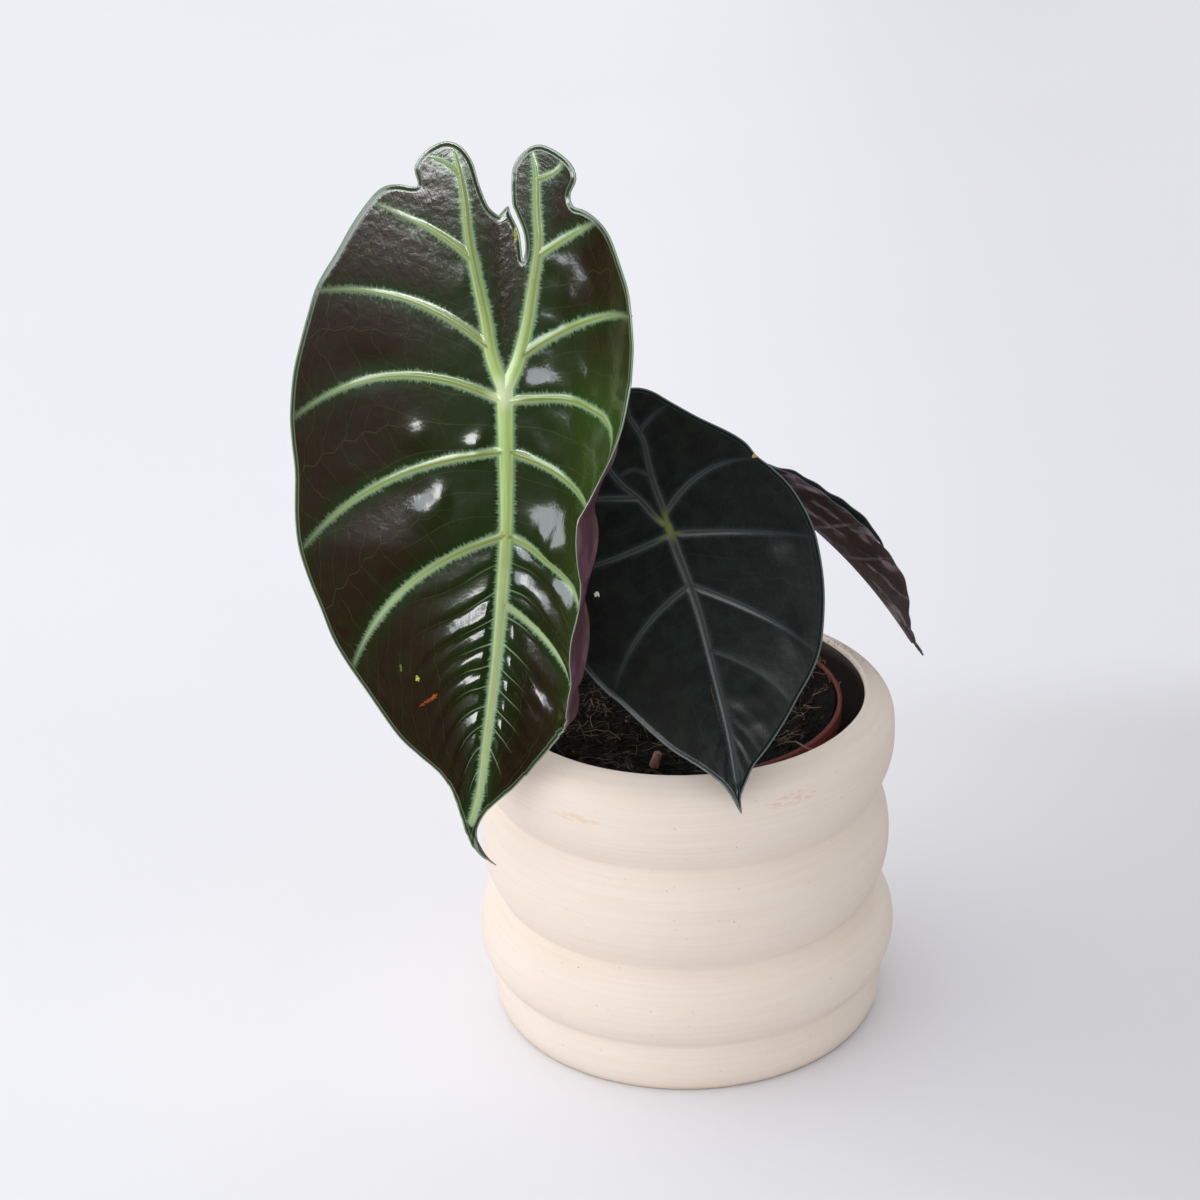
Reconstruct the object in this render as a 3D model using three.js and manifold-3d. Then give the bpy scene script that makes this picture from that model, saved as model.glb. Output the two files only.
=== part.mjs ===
// A potted jewel alocasia: a ribbed stoneware pot, the plastic grower's pot inside it, the soil,
// and three leaves, each with its stalk, its blade and the pale ribs that branch over the blade.
// Millimetres, +Z up. The origin is the middle of the pot's foot, on the surface it stands on.
import * as THREE from 'three';
import { mergeVertices } from 'three/addons/utils/BufferGeometryUtils.js';
import Module from 'manifold-3d';

const wasm = await Module();
wasm.setup();

// Room kept between two pieces that rest on each other
const GAP = 0.3;

// The pot, thrown as four soft rings. Crests and grooves are given as [radius, height].
const POT = {
  foot: [67.2, 0],
  footEdge: [68.2, 1.4],
  rings: [[70.5, 10], [69.6, 19], [75, 31.5], [66.6, 48.5], [72.8, 68], [67.6, 88], [74.6, 107]],
  lip: [65.6, 123.2],
  lipTop: [64.6, 123.5],
  lipInside: [63.8, 122],
  wall: 6,
  floor: 7,
  floorRadius: 57,
  floorCorner: 3,
  swell: 2.2,
  shoulder: 4,
  sides: 52,
};
// The grower's pot, a thin tapered cup that stands a little off the pot's middle. Its wall steps
// outwards near the top and goes on as the rim.
const CUP = {
  middle: [-3.5, 2],
  footRadius: 41.5,
  topRadius: 56.8,
  rimRadius: 59.6,
  height: 111.7,
  rimHeight: 7,
  wall: 1.6,
  rounding: 0.6,
  heel: 1.5,
  inset: 1,
  drainRadius: 4,
  drainCircle: 26,
  drains: 4,
  sides: 44,
};
// The soil in the grower's pot, rounded at its foot and at its upper edge
const SOIL = {
  top: 111,
  lump: 1.6,
  foot: 2,
  shoulder: 4,
  rounding: 1.5,
  rings: [0.93, 0.82, 0.68, 0.54, 0.4, 0.26, 0.12],
};
// Sides of a drain hole or of the socket that a stalk stands in, and the socket's room
const HOLE_SIDES = 12;
const SOCKET_ROOM = GAP * 2;
// How far a stalk goes down into the soil
const ROOTED = 18;
// How sharply the quilting rises from the ribs and the margin: 1 is a plain arch, less is fuller
const QUILT_FULLNESS = 0.7;
// Pale veins: room under them, their rise as a share of their half-width, and half-width at the end
const VEIN_LIFT = 0.1;
const VEIN_RISE = 0.5;
const VEIN_END = 0.5;

// Each leaf is drawn flat and then bent. On the flat blade u runs across and v runs along,
// from the junction where the stalk meets the blade: v is up towards the two lobes.
// outline: from the notch round the left side to the tip and back up the right side.
// ribs: the midrib and the basal rib of each lobe.
// spokes: lines from a rib to the outline, as [rib, share along it, outline point, point that the
// line passes half-way, half-width of the vein or 0 where the line is no vein].
// roll: radius of the cross roll at heights v, for the right and the left half.
const FRONT = {
  at: [-54.9, -60, 260.4],
  up: [0, 0.052, 0.999],
  face: [0, -0.999, 0.052],
  outline: [
    [0, 57], [-3, 60], [-5.5, 66.5], [-7.5, 74], [-11, 79], [-16, 80.5], [-22, 77.5], [-25.6, 72.5],
    [-25, 66.6], [-31, 67], [-36, 66], [-40.5, 62], [-46.5, 54], [-52, 45], [-57, 37.5], [-60, 32],
    [-62.5, 25], [-65.5, 16], [-69, 4], [-71, -10], [-71, -20], [-70.6, -30], [-71.6, -44],
    [-71.2, -56], [-68.5, -67], [-64.7, -78], [-61.5, -88], [-57, -97], [-50.5, -107.5],
    [-41, -123], [-34, -130.5], [-27.8, -136.5], [-23.7, -143], [-21.2, -152], [-19.3, -160],
    [-17, -166], [-13.5, -170], [-9.5, -172.5], [-14.2, -168], [-16, -163], [-14.7, -156.5],
    [-11, -150.5], [-5, -144.8], [1, -138.5], [6, -132.5], [13.2, -123.5], [19, -117],
    [31, -110.5], [40.5, -103.5], [47, -94.5], [50.5, -83], [53, -73], [53.5, -64], [55.3, -56],
    [59, -47], [61, -36], [60.5, -27], [60, -18], [58.7, -9], [56, 1], [55, 11],
    [56, 22], [55, 33], [52.8, 40], [47.4, 46.5], [40.8, 54.8], [35.5, 58.5], [29.5, 60.8],
    [25, 61.5], [24, 65], [26.3, 70], [24.7, 74.5], [18.5, 78.4], [12.6, 79.5], [7.5, 76.2],
    [4.8, 71.4], [4.4, 61.5], [5.6, 57.5], [7.6, 52], [8.1, 47], [7.2, 43], [6.8, 46.8],
    [6.2, 52], [3.8, 57.5], [3, 60],
  ],
  ribs: {
    mid: [[0, 0], [-0.3, -15], [-0.6, -30], [-1.4, -48], [-3.6, -70], [-5.8, -90], [-8.3, -108],
      [-10.8, -124], [-13.6, -142], [-17.2, -156]],
    left: [[0, 0], [-3.8, 12], [-5.2, 24], [-7.6, 38], [-9.5, 50], [-10.3, 62], [-11.4, 70]],
    right: [[0, 0], [4.8, 10.6], [8.4, 24], [10.6, 36], [12.6, 48], [12.4, 60], [12.6, 69]],
  },
  spokes: [
    ['left', 0, 0, [0, 27], 0],
    ['left', 0.2, 0.7, [-4.2, 37], 0],
    ['left', 0.57, 1.6, [-6.8, 51], 0],
    ['left', 0.86, 3, [-8.8, 67], 0],
    ['left', 1, 4.6, [-12.3, 75], 1],
    ['left', 1, 6.3, [-16.6, 74.6], 1],
    ['left', 0.86, 8, [-17.5, 65], 0],
    ['left', 0.57, 11, [-21, 53], 1.7],
    ['left', 0.2, 15, [-30, 30.6], 1.8],
    ['mid', 0, 17, [-34, 19], 0],
    ['mid', 0.035, 19.2, [-36.5, 5], 1.9],
    ['mid', 0.15, 23.2, [-40, -31], 1.8],
    ['mid', 0.34, 27.3, [-34.5, -67.5], 1.7],
    ['mid', 0.46, 28.8, [-28, -90], 0],
    ['mid', 0.66, 30.8, [-21.5, -117], 0],
    ['mid', 0.82, 33.2, [-16.5, -137], 0],
    ['mid', 1, 37, [-16.4, -164], 0],
    ['mid', 0.82, 41, [-10.5, -138], 0],
    ['mid', 0.66, 44, [0.5, -117], 0],
    ['mid', 0.46, 47.3, [13, -87], 1.3],
    ['mid', 0.34, 49.2, [26, -65], 1.6],
    ['mid', 0.15, 53.6, [34, -33.5], 1.7],
    ['mid', 0.035, 57, [38, -2.5], 1.8],
    ['mid', 0, 59.6, [33, 10], 0],
    ['right', 0.18, 62, [30, 26], 1.8],
    ['right', 0.62, 66, [25, 53], 1.5],
    ['right', 0.86, 69, [18.5, 63.5], 0],
    ['right', 1, 71.5, [19.5, 72.2], 1],
    ['right', 1, 73.3, [12, 75], 1],
    ['right', 0.86, 75, [8.4, 67], 0],
    ['right', 0.62, 77.5, [8.6, 53.5], 0],
    ['right', 0.18, 80, [7.4, 29], 0],
  ],
  rolls: [[-175, 50], [-150, 39], [-135, 29], [-122, 20], [-112, 16], [-104, 19.5], [-96, 21.5],
    [-88, 23], [-80, 23.5], [-70, 24.5], [-60, 26], [-50, 27.5], [-28, 28], [-15, 32], [0, 38],
    [12, 42], [24, 43], [62, 42]],
  leftRoll: -250,
  arch: 0.0003,
  thickness: 1.2,
  quilt: 2.6,
  quiltRoom: 22,
  underRib: 0.9,
  ribWidths: [2.6, 0.9],
  basalWidths: [2.2, 1],
  steps: 3,
  rings: [0, 0.1, 0.25, 0.44, 0.64, 0.84, 1],
};

const MIDDLE = {
  at: [-4.1, -37, 202.3],
  up: [-0.208, 0.489, 0.847],
  face: [0, -0.866, 0.5],
  outline: [
    [-12.6, 27.5], [-14.6, 31], [-16.4, 36], [-19, 41], [-22.5, 43.5], [-26.5, 42], [-30.5, 36.8],
    [-35.5, 29],
    [-40.5, 19.5], [-44.5, 9], [-46.6, -3], [-46, -13], [-44, -22], [-41, -31], [-37.5, -40],
    [-33.5, -47.5], [-28.5, -54], [-24.5, -60], [-20, -66.5], [-15, -73], [-8, -79.8],
    [-2, -86.8], [0.4, -92], [2.4, -98], [3.6, -92.5], [6.6, -88], [10, -83.6], [15.6, -79],
    [23, -72], [29.4, -64.8], [35.6, -58], [40.3, -50.6], [43.8, -40.5], [46, -31], [47, -21.5],
    [47, -12.5], [45.4, -4.3], [42.4, 4], [38, 11], [34, 16], [31.4, 21.2], [26.6, 26.2],
    [18, 33.2], [10.6, 40], [4.8, 45.4], [-0.6, 47.8], [-6, 47.4], [-9.6, 44], [-10.6, 39],
    [-11, 33],
  ],
  ribs: {
    mid: [[0, 0], [1.2, -10], [2.6, -20], [3.7, -31], [4, -43], [4.2, -55], [4.3, -67], [4, -77],
      [3.2, -87]],
    left: [[0, 0], [-3.5, 4], [-7.1, 10.5], [-11.8, 16.7], [-15.8, 24.5], [-19.5, 33]],
    right: [[0, 0], [-0.4, 7], [-1.4, 15], [-1.6, 23], [-1.6, 30], [-4.4, 38.5]],
  },
  spokes: [
    ['left', 0, 0, [-5.5, 14], 0],
    ['left', 0.42, 1, [-11.6, 21.5], 0],
    ['left', 1, 3.3, [-19.9, 37.3], 0.7],
    ['left', 1, 5.6, [-24.3, 36.6], 0],
    ['left', 0.42, 8.2, [-24.5, 14.5], 1],
    ['mid', 0, 9.4, [-23, 3], 0],
    ['mid', 0.045, 10.4, [-25, -7.4], 1],
    ['mid', 0.26, 15.6, [-17.5, -33.6], 1],
    ['mid', 0.5, 18, [-10, -53.5], 0],
    ['mid', 0.75, 20, [-2.5, -73.5], 0],
    ['mid', 1, 23, [2.8, -92.5], 0],
    ['mid', 0.75, 26.5, [8.5, -73.5], 0],
    ['mid', 0.5, 28.6, [18, -53.5], 0.6],
    ['mid', 0.26, 30.7, [24.5, -36.6], 1],
    ['mid', 0.045, 34.7, [25, -7.9], 1],
    ['mid', 0, 36.7, [25.5, 3.5], 0],
    ['right', 0.12, 38.7, [16.6, 15], 1],
    ['right', 0.86, 43, [3.7, 37.2], 0.7],
    ['right', 1, 45.4, [-4, 43.3], 0.7],
    ['right', 0.86, 48, [-6.4, 35.4], 0],
    ['right', 0.12, 49.3, [-3.8, 17.5], 0],
  ],
  rolls: [[-100, 250], [60, 250]],
  leftRoll: 250,
  arch: 0.0005,
  thickness: 1.1,
  quilt: 1.6,
  quiltRoom: 15,
  underRib: 0.7,
  ribWidths: [1.8, 0.8],
  basalWidths: [1.5, 0.8],
  steps: 3,
  rings: [0, 0.14, 0.36, 0.62, 0.84, 1],
};

const BACK = {
  at: [45.3, 33.9, 172.3],
  up: [-0.735, 0.016, 0.678],
  face: [0.655, 0.267, 0.707],
  outline: [
    [-2, 16], [-4, 22], [-7, 29.5], [-12.5, 35.5], [-20.5, 34.8], [-25.6, 28.8], [-27.4, 22],
    [-28.3, 15], [-28.6, 7.8], [-28.8, 0.5], [-29.1, -7.3], [-28.8, -15.6], [-28.2, -22],
    [-27.5, -27], [-26.3, -32], [-24, -37], [-19.6, -42.5], [-12.3, -49.4], [-5, -56.8],
    [-0.6, -62], [1, -66.5], [6, -62], [12.4, -57.5], [18.8, -53], [24.5, -46], [28.8, -38.5],
    [31.3, -30], [31.7, -22], [30.5, -13.5], [28.8, -6], [27.6, 2], [25.9, 9.5], [22, 17],
    [18, 24.5], [13, 30.5], [8, 33], [4.8, 29.5], [2.8, 22],
  ],
  ribs: {
    mid: [[0, 0], [0.2, -12], [0.4, -26], [0.6, -40], [0.8, -52], [0.9, -60]],
    left: [[0, 0], [-3.4, 6], [-7.6, 14], [-11.6, 22], [-14.6, 28]],
    right: [[0, 0], [3, 6], [6, 14], [8, 22], [9, 27.5]],
  },
  spokes: [
    ['left', 0, 0, [0, 8], 0],
    ['left', 0.45, 1, [-5.4, 18.5], 0],
    ['left', 1, 3.5, [-15.6, 31.6], 0.6],
    ['left', 0.45, 6.2, [-17.6, 17.5], 0.8],
    ['left', 0, 8.8, [-14.5, 5], 0],
    ['mid', 0.06, 10, [-16, -3], 0.9],
    ['mid', 0.28, 12.6, [-15.6, -20], 0.9],
    ['mid', 0.55, 15.6, [-12.6, -36], 0.7],
    ['mid', 0.8, 17.4, [-6.5, -51], 0.5],
    ['mid', 1, 20, [0.3, -63.5], 0],
    ['mid', 0.8, 22.3, [6.5, -53], 0.5],
    ['mid', 0.55, 24, [12, -39], 0.7],
    ['mid', 0.28, 26.4, [15.4, -20], 0.9],
    ['mid', 0.06, 28.6, [15.4, -4], 0.9],
    ['right', 0, 30.3, [14, 5], 0],
    ['right', 0.45, 32.6, [13.6, 18], 0.8],
    ['right', 1, 35.2, [8.7, 30], 0.6],
    ['right', 0.45, 37, [4, 16], 0],
  ],
  rolls: [[-80, 34], [-30, 31], [40, 34]],
  leftRoll: 35,
  arch: 0.0026,
  thickness: 1.1,
  quilt: 1.4,
  quiltRoom: 12,
  underRib: 0.7,
  ribWidths: [1.5, 0.7],
  basalWidths: [1.3, 0.7],
  steps: 3,
  rings: [0, 0.16, 0.4, 0.66, 0.86, 1],
};

// The stub of a leaf that was cut off earlier stands in the soil in front of the stalks
const STUB = { at: [-10.5, -35], radii: [1.9, 1.4], height: 5.5, lean: 0.3, edge: 0.6, sides: 10 };

// Stalks: sides, length of a step, and the share of the stalk that the thick sheath at its foot takes
const STALK_SIDES = 8;
const STALK_STEP = 7;
const STALK_SHEATH = 0.12;
// Points from the soil up to the blade's underside, and radii at the foot and the top
const FRONT_STALK = {
  path: [[-8, 2, 114], [-13, 5, 130], [-27, 4, 155], [-44, -8, 182], [-55, -23, 208],
    [-58.5, -38, 232], [-57, -48, 249], [-55.4, -53, 257.4]],
  radii: [5, 2.8],
};
const MIDDLE_STALK = {
  path: [[5, -4, 114], [5.5, -2.5, 130], [4, -4, 150], [1, -12, 172], [-2.5, -24, 190]],
  radii: [4.4, 2.2],
};
const BACK_STALK = {
  path: [[6, 11, 114], [8, 14, 126], [17, 20, 140], [30, 28, 156]],
  radii: [4, 1.8],
};

function closedSolid(geometry) {
  // Shared corners are joined, faces without area are dropped, and the faces turned outwards
  geometry.deleteAttribute('normal');
  geometry.deleteAttribute('uv');
  const merged = mergeVertices(geometry, 1e-4);
  const index = merged.index.array;
  const kept = [];
  for (let i = 0; i < index.length; i += 3) {
    const [a, b, c] = [index[i], index[i + 1], index[i + 2]];
    if (a !== b && b !== c && c !== a) kept.push(a, b, c);
  }
  merged.setIndex(signedVolume(merged, kept) < 0 ? kept.reverse() : kept);
  return merged;
}

function signedVolume(geometry, index) {
  const corner = (i) => new THREE.Vector3().fromBufferAttribute(geometry.attributes.position, i);
  let volume = 0;
  for (let i = 0; i < index.length; i += 3) {
    volume += corner(index[i]).dot(corner(index[i + 1]).cross(corner(index[i + 2])));
  }
  return volume / 6;
}

function toManifold(geometry) {
  return new wasm.Manifold(new wasm.Mesh({
    numProp: 3,
    vertProperties: new Float32Array(geometry.attributes.position.array),
    triVerts: new Uint32Array(geometry.index.array),
  }));
}

function fromManifold(solid) {
  const mesh = solid.getMesh();
  const geometry = new THREE.BufferGeometry();
  geometry.setAttribute('position', new THREE.BufferAttribute(mesh.vertProperties, 3));
  geometry.setIndex(new THREE.BufferAttribute(mesh.triVerts, 1));
  return geometry;
}

function turned(profile, sides) {
  // A solid of revolution about +Z from [radius, height] points
  const points = profile.map(([radius, height]) => new THREE.Vector2(radius, height));
  return new THREE.LatheGeometry(points, sides).rotateX(Math.PI / 2);
}

function between(table, x) {
  // Reads a value off a table of [x, value] rows, straight from row to row
  const first = table[0];
  if (x <= first[0]) return first[1];
  for (let i = 1; i < table.length; i += 1) {
    const [x0, y0] = table[i - 1];
    const [x1, y1] = table[i];
    if (x <= x1) return y0 + (y1 - y0) * (x - x0) / (x1 - x0);
  }
  return table[table.length - 1][1];
}

function potProfile() {
  // Each ring swells from its crest to the grooves beside it, and the top one rolls in to the lip
  const outside = [POT.foot, POT.footEdge];
  const stops = [POT.footEdge, ...POT.rings, POT.lip];
  const shares = [0.42, 0.76, 1];
  for (let i = 1; i < stops.length; i += 1) {
    const [r0, z0] = stops[i - 1];
    const [r1, z1] = stops[i];
    const rising = r1 > r0;
    const power = i === stops.length - 1 ? POT.shoulder : POT.swell;
    for (const share of shares) {
      const step = rising ? 1 - Math.pow(1 - share, power) : Math.pow(share, power);
      outside.push([r0 + (r1 - r0) * step, z0 + (z1 - z0) * share]);
    }
  }
  const inside = POT.rings.slice(1).reverse().map(([radius, height]) => [radius - POT.wall, height]);
  return [[0, 0], ...outside, POT.lipTop, POT.lipInside, ...inside,
    [POT.floorRadius + POT.floorCorner, POT.floor + POT.floorCorner], [POT.floorRadius, POT.floor],
    [0, POT.floor]];
}

function pot() {
  return closedSolid(turned(potProfile(), POT.sides));
}

function cupInside() {
  // The inner wall of the grower's pot below its step, as [height, radius] rows from its foot
  const { footRadius, topRadius, height, rimHeight, wall, inset } = CUP;
  return [[wall + inset, footRadius - wall], [height - rimHeight - wall, topRadius - wall]];
}

function growersPot() {
  const { footRadius, topRadius, rimRadius, height, rimHeight, wall, rounding, heel, inset } = CUP;
  const step = height - rimHeight;
  const outside = [[0, 0], [footRadius - heel, 0], [footRadius, heel], [topRadius, step],
    [rimRadius - rounding, step], [rimRadius, step + rounding], [rimRadius, height - rounding],
    [rimRadius - wall / 2, height]];
  const inside = [[rimRadius - wall, height - rounding], [rimRadius - wall, step + wall],
    ...cupInside().reverse().map(([z, radius]) => [radius, z]), [footRadius - wall - inset, wall],
    [0, wall]];
  const profile = [...outside, ...inside];
  let cup = toManifold(closedSolid(turned(profile, CUP.sides)));
  for (let i = 0; i < CUP.drains; i += 1) {
    const angle = Math.PI * 2 * (i + 0.5) / CUP.drains;
    const drain = new THREE.CylinderGeometry(CUP.drainRadius, CUP.drainRadius, wall * 4, HOLE_SIDES)
      .rotateX(Math.PI / 2)
      .translate(CUP.drainCircle * Math.cos(angle), CUP.drainCircle * Math.sin(angle), 0);
    cup = cup.subtract(toManifold(closedSolid(drain)));
  }
  return fromManifold(cup).translate(CUP.middle[0], CUP.middle[1], POT.floor + GAP);
}

function soilHeight(x, y) {
  // Gentle humps and small crumbs, the same every time
  const humps = Math.sin(x * 0.09 + 1) * Math.cos(y * 0.11) + Math.sin(x * 0.23 - y * 0.19) * 0.5;
  const crumbs = Math.sin(x * 12.9898 + y * 78.233) * 0.6;
  return SOIL.lump * (humps * 0.6 + crumbs * 0.5);
}

function soil(stalks) {
  const seat = POT.floor + GAP;
  const foot = seat + CUP.wall + GAP;
  const inner = (z) => between(cupInside(), z - seat) - GAP;
  const edge = inner(SOIL.top);
  const profile = [[0, foot], [inner(foot) - SOIL.foot, foot], [inner(foot + SOIL.foot), foot + SOIL.foot],
    [inner(SOIL.top - SOIL.shoulder), SOIL.top - SOIL.shoulder],
    [edge - SOIL.rounding, SOIL.top - SOIL.rounding],
    ...SOIL.rings.map((share) => [edge * share, SOIL.top]), [0, SOIL.top]];
  const geometry = turned(profile, CUP.sides);
  const place = geometry.attributes.position;
  for (let i = 0; i < place.count; i += 1) {
    if (place.getZ(i) > SOIL.top - SOIL.rounding / 2) {
      place.setZ(i, SOIL.top + soilHeight(Math.round(place.getX(i)), Math.round(place.getY(i))));
    }
  }
  let body = toManifold(closedSolid(geometry.translate(CUP.middle[0], CUP.middle[1], 0)));
  const sockets = stalks.map(({ path, radii }) => [path[0][0], path[0][1], radii[0]]);
  for (const [x, y, radius] of [...sockets, [...STUB.at, STUB.radii[0]]]) {
    const depth = SOIL.top - ROOTED - GAP;
    const tall = ROOTED * 2;
    const hole = new THREE.CylinderGeometry(radius + SOCKET_ROOM, radius + SOCKET_ROOM, tall, HOLE_SIDES)
      .rotateX(Math.PI / 2)
      .translate(x, y, depth + tall / 2);
    body = body.subtract(toManifold(closedSolid(hole)));
  }
  return fromManifold(body);
}

function axes(leaf) {
  // Across, along and out of the blade's upper face
  const face = new THREE.Vector3(...leaf.face).normalize();
  const across = new THREE.Vector3(...leaf.up).cross(face).normalize();
  return { across, along: face.clone().cross(across), face, at: new THREE.Vector3(...leaf.at) };
}

function bent(leaf, [u, v], height) {
  // Takes a point of the flat blade, raised by height, to its place on the rolled and arched leaf
  const radius = u > 0 ? between(leaf.rolls, v) : leaf.leftRoll;
  const angle = u / radius;
  const { across, along, face, at } = leaf.axes;
  const x = (radius - height) * Math.sin(angle);
  const z = radius - (radius - height) * Math.cos(angle) - leaf.arch * v * v;
  return at.clone().addScaledVector(across, x).addScaledVector(along, v).addScaledVector(face, z);
}

function lerp(a, b, share) {
  return a + (b - a) * share;
}

function spline(points) {
  return new THREE.SplineCurve(points.map(([u, v]) => new THREE.Vector2(u, v)));
}

function prepared(leaf) {
  // Works out the leaf's axes, curves and columns. A column is one line from a rib to the outline.
  const ribs = {
    mid: spline(leaf.ribs.mid),
    left: spline(leaf.ribs.left),
    right: spline(leaf.ribs.right),
  };
  const ribPoints = Object.values(ribs).flatMap((curve) => curve.getPoints(24));
  const outline = spline([...leaf.outline, leaf.outline[0]]);
  const points = leaf.outline.length;
  const spokes = leaf.spokes.map(([rib, share, stop, [u, v], width]) => {
    const root = ribs[rib].getPoint(share);
    const rim = outline.getPoint(stop / points);
    const control = new THREE.Vector2(u, v).multiplyScalar(2)
      .sub(root.clone().add(rim).multiplyScalar(0.5));
    return { rib, share, stop, root, rim, control, width };
  });
  const count = spokes.length;
  const veins = spokes.map((spoke, i) => (spoke.width > 0 ? i : -1)).filter((i) => i >= 0);
  const columns = [];
  for (let i = 0; i < count; i += 1) {
    const from = spokes[i];
    const to = i + 1 < count ? spokes[i + 1] : { ...spokes[0], stop: points, rib: 'right' };
    const rib = to.share === 0 ? from.rib : to.rib;
    const before = veins.filter((k) => k <= i).pop() ?? veins[veins.length - 1] - count;
    const after = veins.find((k) => k > i) ?? veins[0] + count;
    for (let step = 0; step < leaf.steps; step += 1) {
      const share = step / leaf.steps;
      const ribShare = lerp(from.share, to.share, share);
      const root = ribs[rib].getPoint(ribShare);
      const rim = outline.getPoint(lerp(from.stop, to.stop, share) / points);
      const control = from.control.clone().lerp(to.control, share);
      const bay = (i + share - before) / (after - before);
      const halfway = new THREE.Vector2(...along({ root, control, rim }, 0.5));
      const room = Math.min(...ribPoints.map((point) => point.distanceTo(halfway)));
      const swell = leaf.quilt * Math.min(1, room / leaf.quiltRoom);
      columns.push({ rib, share: ribShare, root, control, rim, bay, swell });
    }
  }
  return { ...leaf, axes: axes(leaf), curves: ribs, spokes, columns };
}

function along(line, share) {
  // A point of a column or spoke: 0 at its rib, 1 at the outline
  const a = (1 - share) * (1 - share);
  const b = 2 * share * (1 - share);
  const c = share * share;
  return [
    a * line.root.x + b * line.control.x + c * line.rim.x,
    a * line.root.y + b * line.control.y + c * line.rim.y,
  ];
}

function quilting({ bay, swell }, share) {
  // The blade swells between two veins and lies low along them, along the ribs and at the margin
  const acrossBay = 4 * bay * (1 - bay);
  const alongVein = Math.pow(4 * share * (1 - share), QUILT_FULLNESS);
  return swell * acrossBay * alongVein;
}

function blade(leaf) {
  // A lathed disc: its axis is stretched over the ribs and its edge over the outline
  const { columns, rings } = leaf;
  const upper = rings.map((share) => new THREE.Vector2(share, 1));
  const lower = rings.map((share) => new THREE.Vector2(share, -1)).reverse();
  const geometry = new THREE.LatheGeometry([...upper, ...lower], columns.length);
  const { position, uv } = geometry.attributes;
  const levels = rings.length * 2;
  for (let i = 0; i < position.count; i += 1) {
    const column = columns[Math.round(uv.getX(i) * columns.length) % columns.length];
    const level = Math.round(uv.getY(i) * (levels - 1));
    const isUpper = level < rings.length;
    const share = rings[isUpper ? level : levels - 1 - level];
    const onVein = column.bay === 0 ? 1 - share : 0;
    const rib = share === 0 ? 1 : onVein;
    const half = isUpper ? leaf.thickness / 2 : -leaf.thickness / 2 - leaf.underRib * rib;
    const point = bent(leaf, along(column, share), quilting(column, share) + half);
    position.setXYZ(i, point.x, point.y, point.z);
  }
  return closedSolid(geometry);
}

function vein(leaf, flatPoint, shares, widths) {
  // A pale rib: a four-sided bar that lies along a line of the blade and thins to its end.
  // Its joints fall on the blade's own creases, so that it follows the creased blade all the way.
  const geometry = new THREE.CylinderGeometry(1, 1, 1, 4, shares.length - 1);
  const { position } = geometry.attributes;
  const near = 0.002;
  for (let i = 0; i < position.count; i += 1) {
    const share = shares[Math.round((0.5 - position.getY(i)) * (shares.length - 1))];
    const [u, v] = flatPoint(share);
    const [u0, v0] = flatPoint(Math.max(0, share - near));
    const [u1, v1] = flatPoint(Math.min(1, share + near));
    const stretch = Math.hypot(u1 - u0, v1 - v0);
    const half = lerp(widths[0], widths[1], share);
    const side = position.getX(i) * half / stretch;
    const rise = leaf.thickness / 2 + GAP + VEIN_LIFT + half * VEIN_RISE * (1 + position.getZ(i));
    const point = bent(leaf, [u - (v1 - v0) * side, v + (u1 - u0) * side], rise);
    position.setXYZ(i, point.x, point.y, point.z);
  }
  return toManifold(closedSolid(geometry));
}

function veins(leaf) {
  let net;
  for (const [rib, widths] of [['mid', leaf.ribWidths], ['left', leaf.basalWidths],
    ['right', leaf.basalWidths]]) {
    const line = (share) => leaf.curves[rib].getPoint(share).toArray();
    const shares = leaf.columns.filter((column) => column.rib === rib).map(({ share }) => share);
    const stops = [...new Set(shares)].sort((a, b) => a - b);
    const bar = vein(leaf, line, stops, widths);
    net = net ? net.add(bar) : bar;
  }
  const reach = leaf.rings.slice(0, -1);
  for (const spoke of leaf.spokes.filter(({ width }) => width > 0)) {
    net = net.add(vein(leaf, (share) => along(spoke, share), reach, [spoke.width, VEIN_END]));
  }
  return fromManifold(net);
}

function stalk({ path, radii }, leaf) {
  // Rises straight out of its hole, bends over to the underside of the blade's junction and is
  // hollowed there to the form of the underside, with a small gap
  const top = bent(leaf, [0, 0], -leaf.thickness / 2 - leaf.underRib);
  const [x, y] = path[0];
  const points = [[x, y, SOIL.top - ROOTED], [x, y, SOIL.top - ROOTED / 2], ...path];
  const curve = new THREE.CatmullRomCurve3([...points.map((p) => new THREE.Vector3(...p)), top]);
  const steps = Math.round(curve.getLength() / STALK_STEP);
  const frames = curve.computeFrenetFrames(steps, false);
  const geometry = new THREE.CylinderGeometry(1, 1, 1, STALK_SIDES, steps);
  const { position } = geometry.attributes;
  for (let i = 0; i < position.count; i += 1) {
    const share = 0.5 - position.getY(i);
    const frame = Math.round(share * steps);
    const rise = Math.max(0, share - STALK_SHEATH) / (1 - STALK_SHEATH);
    const radius = lerp(radii[0], radii[1], Math.sqrt(rise));
    const point = curve.getPointAt(share)
      .addScaledVector(frames.normals[frame], position.getX(i) * radius)
      .addScaledVector(frames.binormals[frame], position.getZ(i) * radius);
    position.setXYZ(i, point.x, point.y, point.z);
  }
  const lowered = leaf.axes.face.clone().multiplyScalar(-GAP);
  const seat = blade(leaf).translate(lowered.x, lowered.y, lowered.z);
  return fromManifold(toManifold(closedSolid(geometry)).subtract(toManifold(seat)));
}

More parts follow.
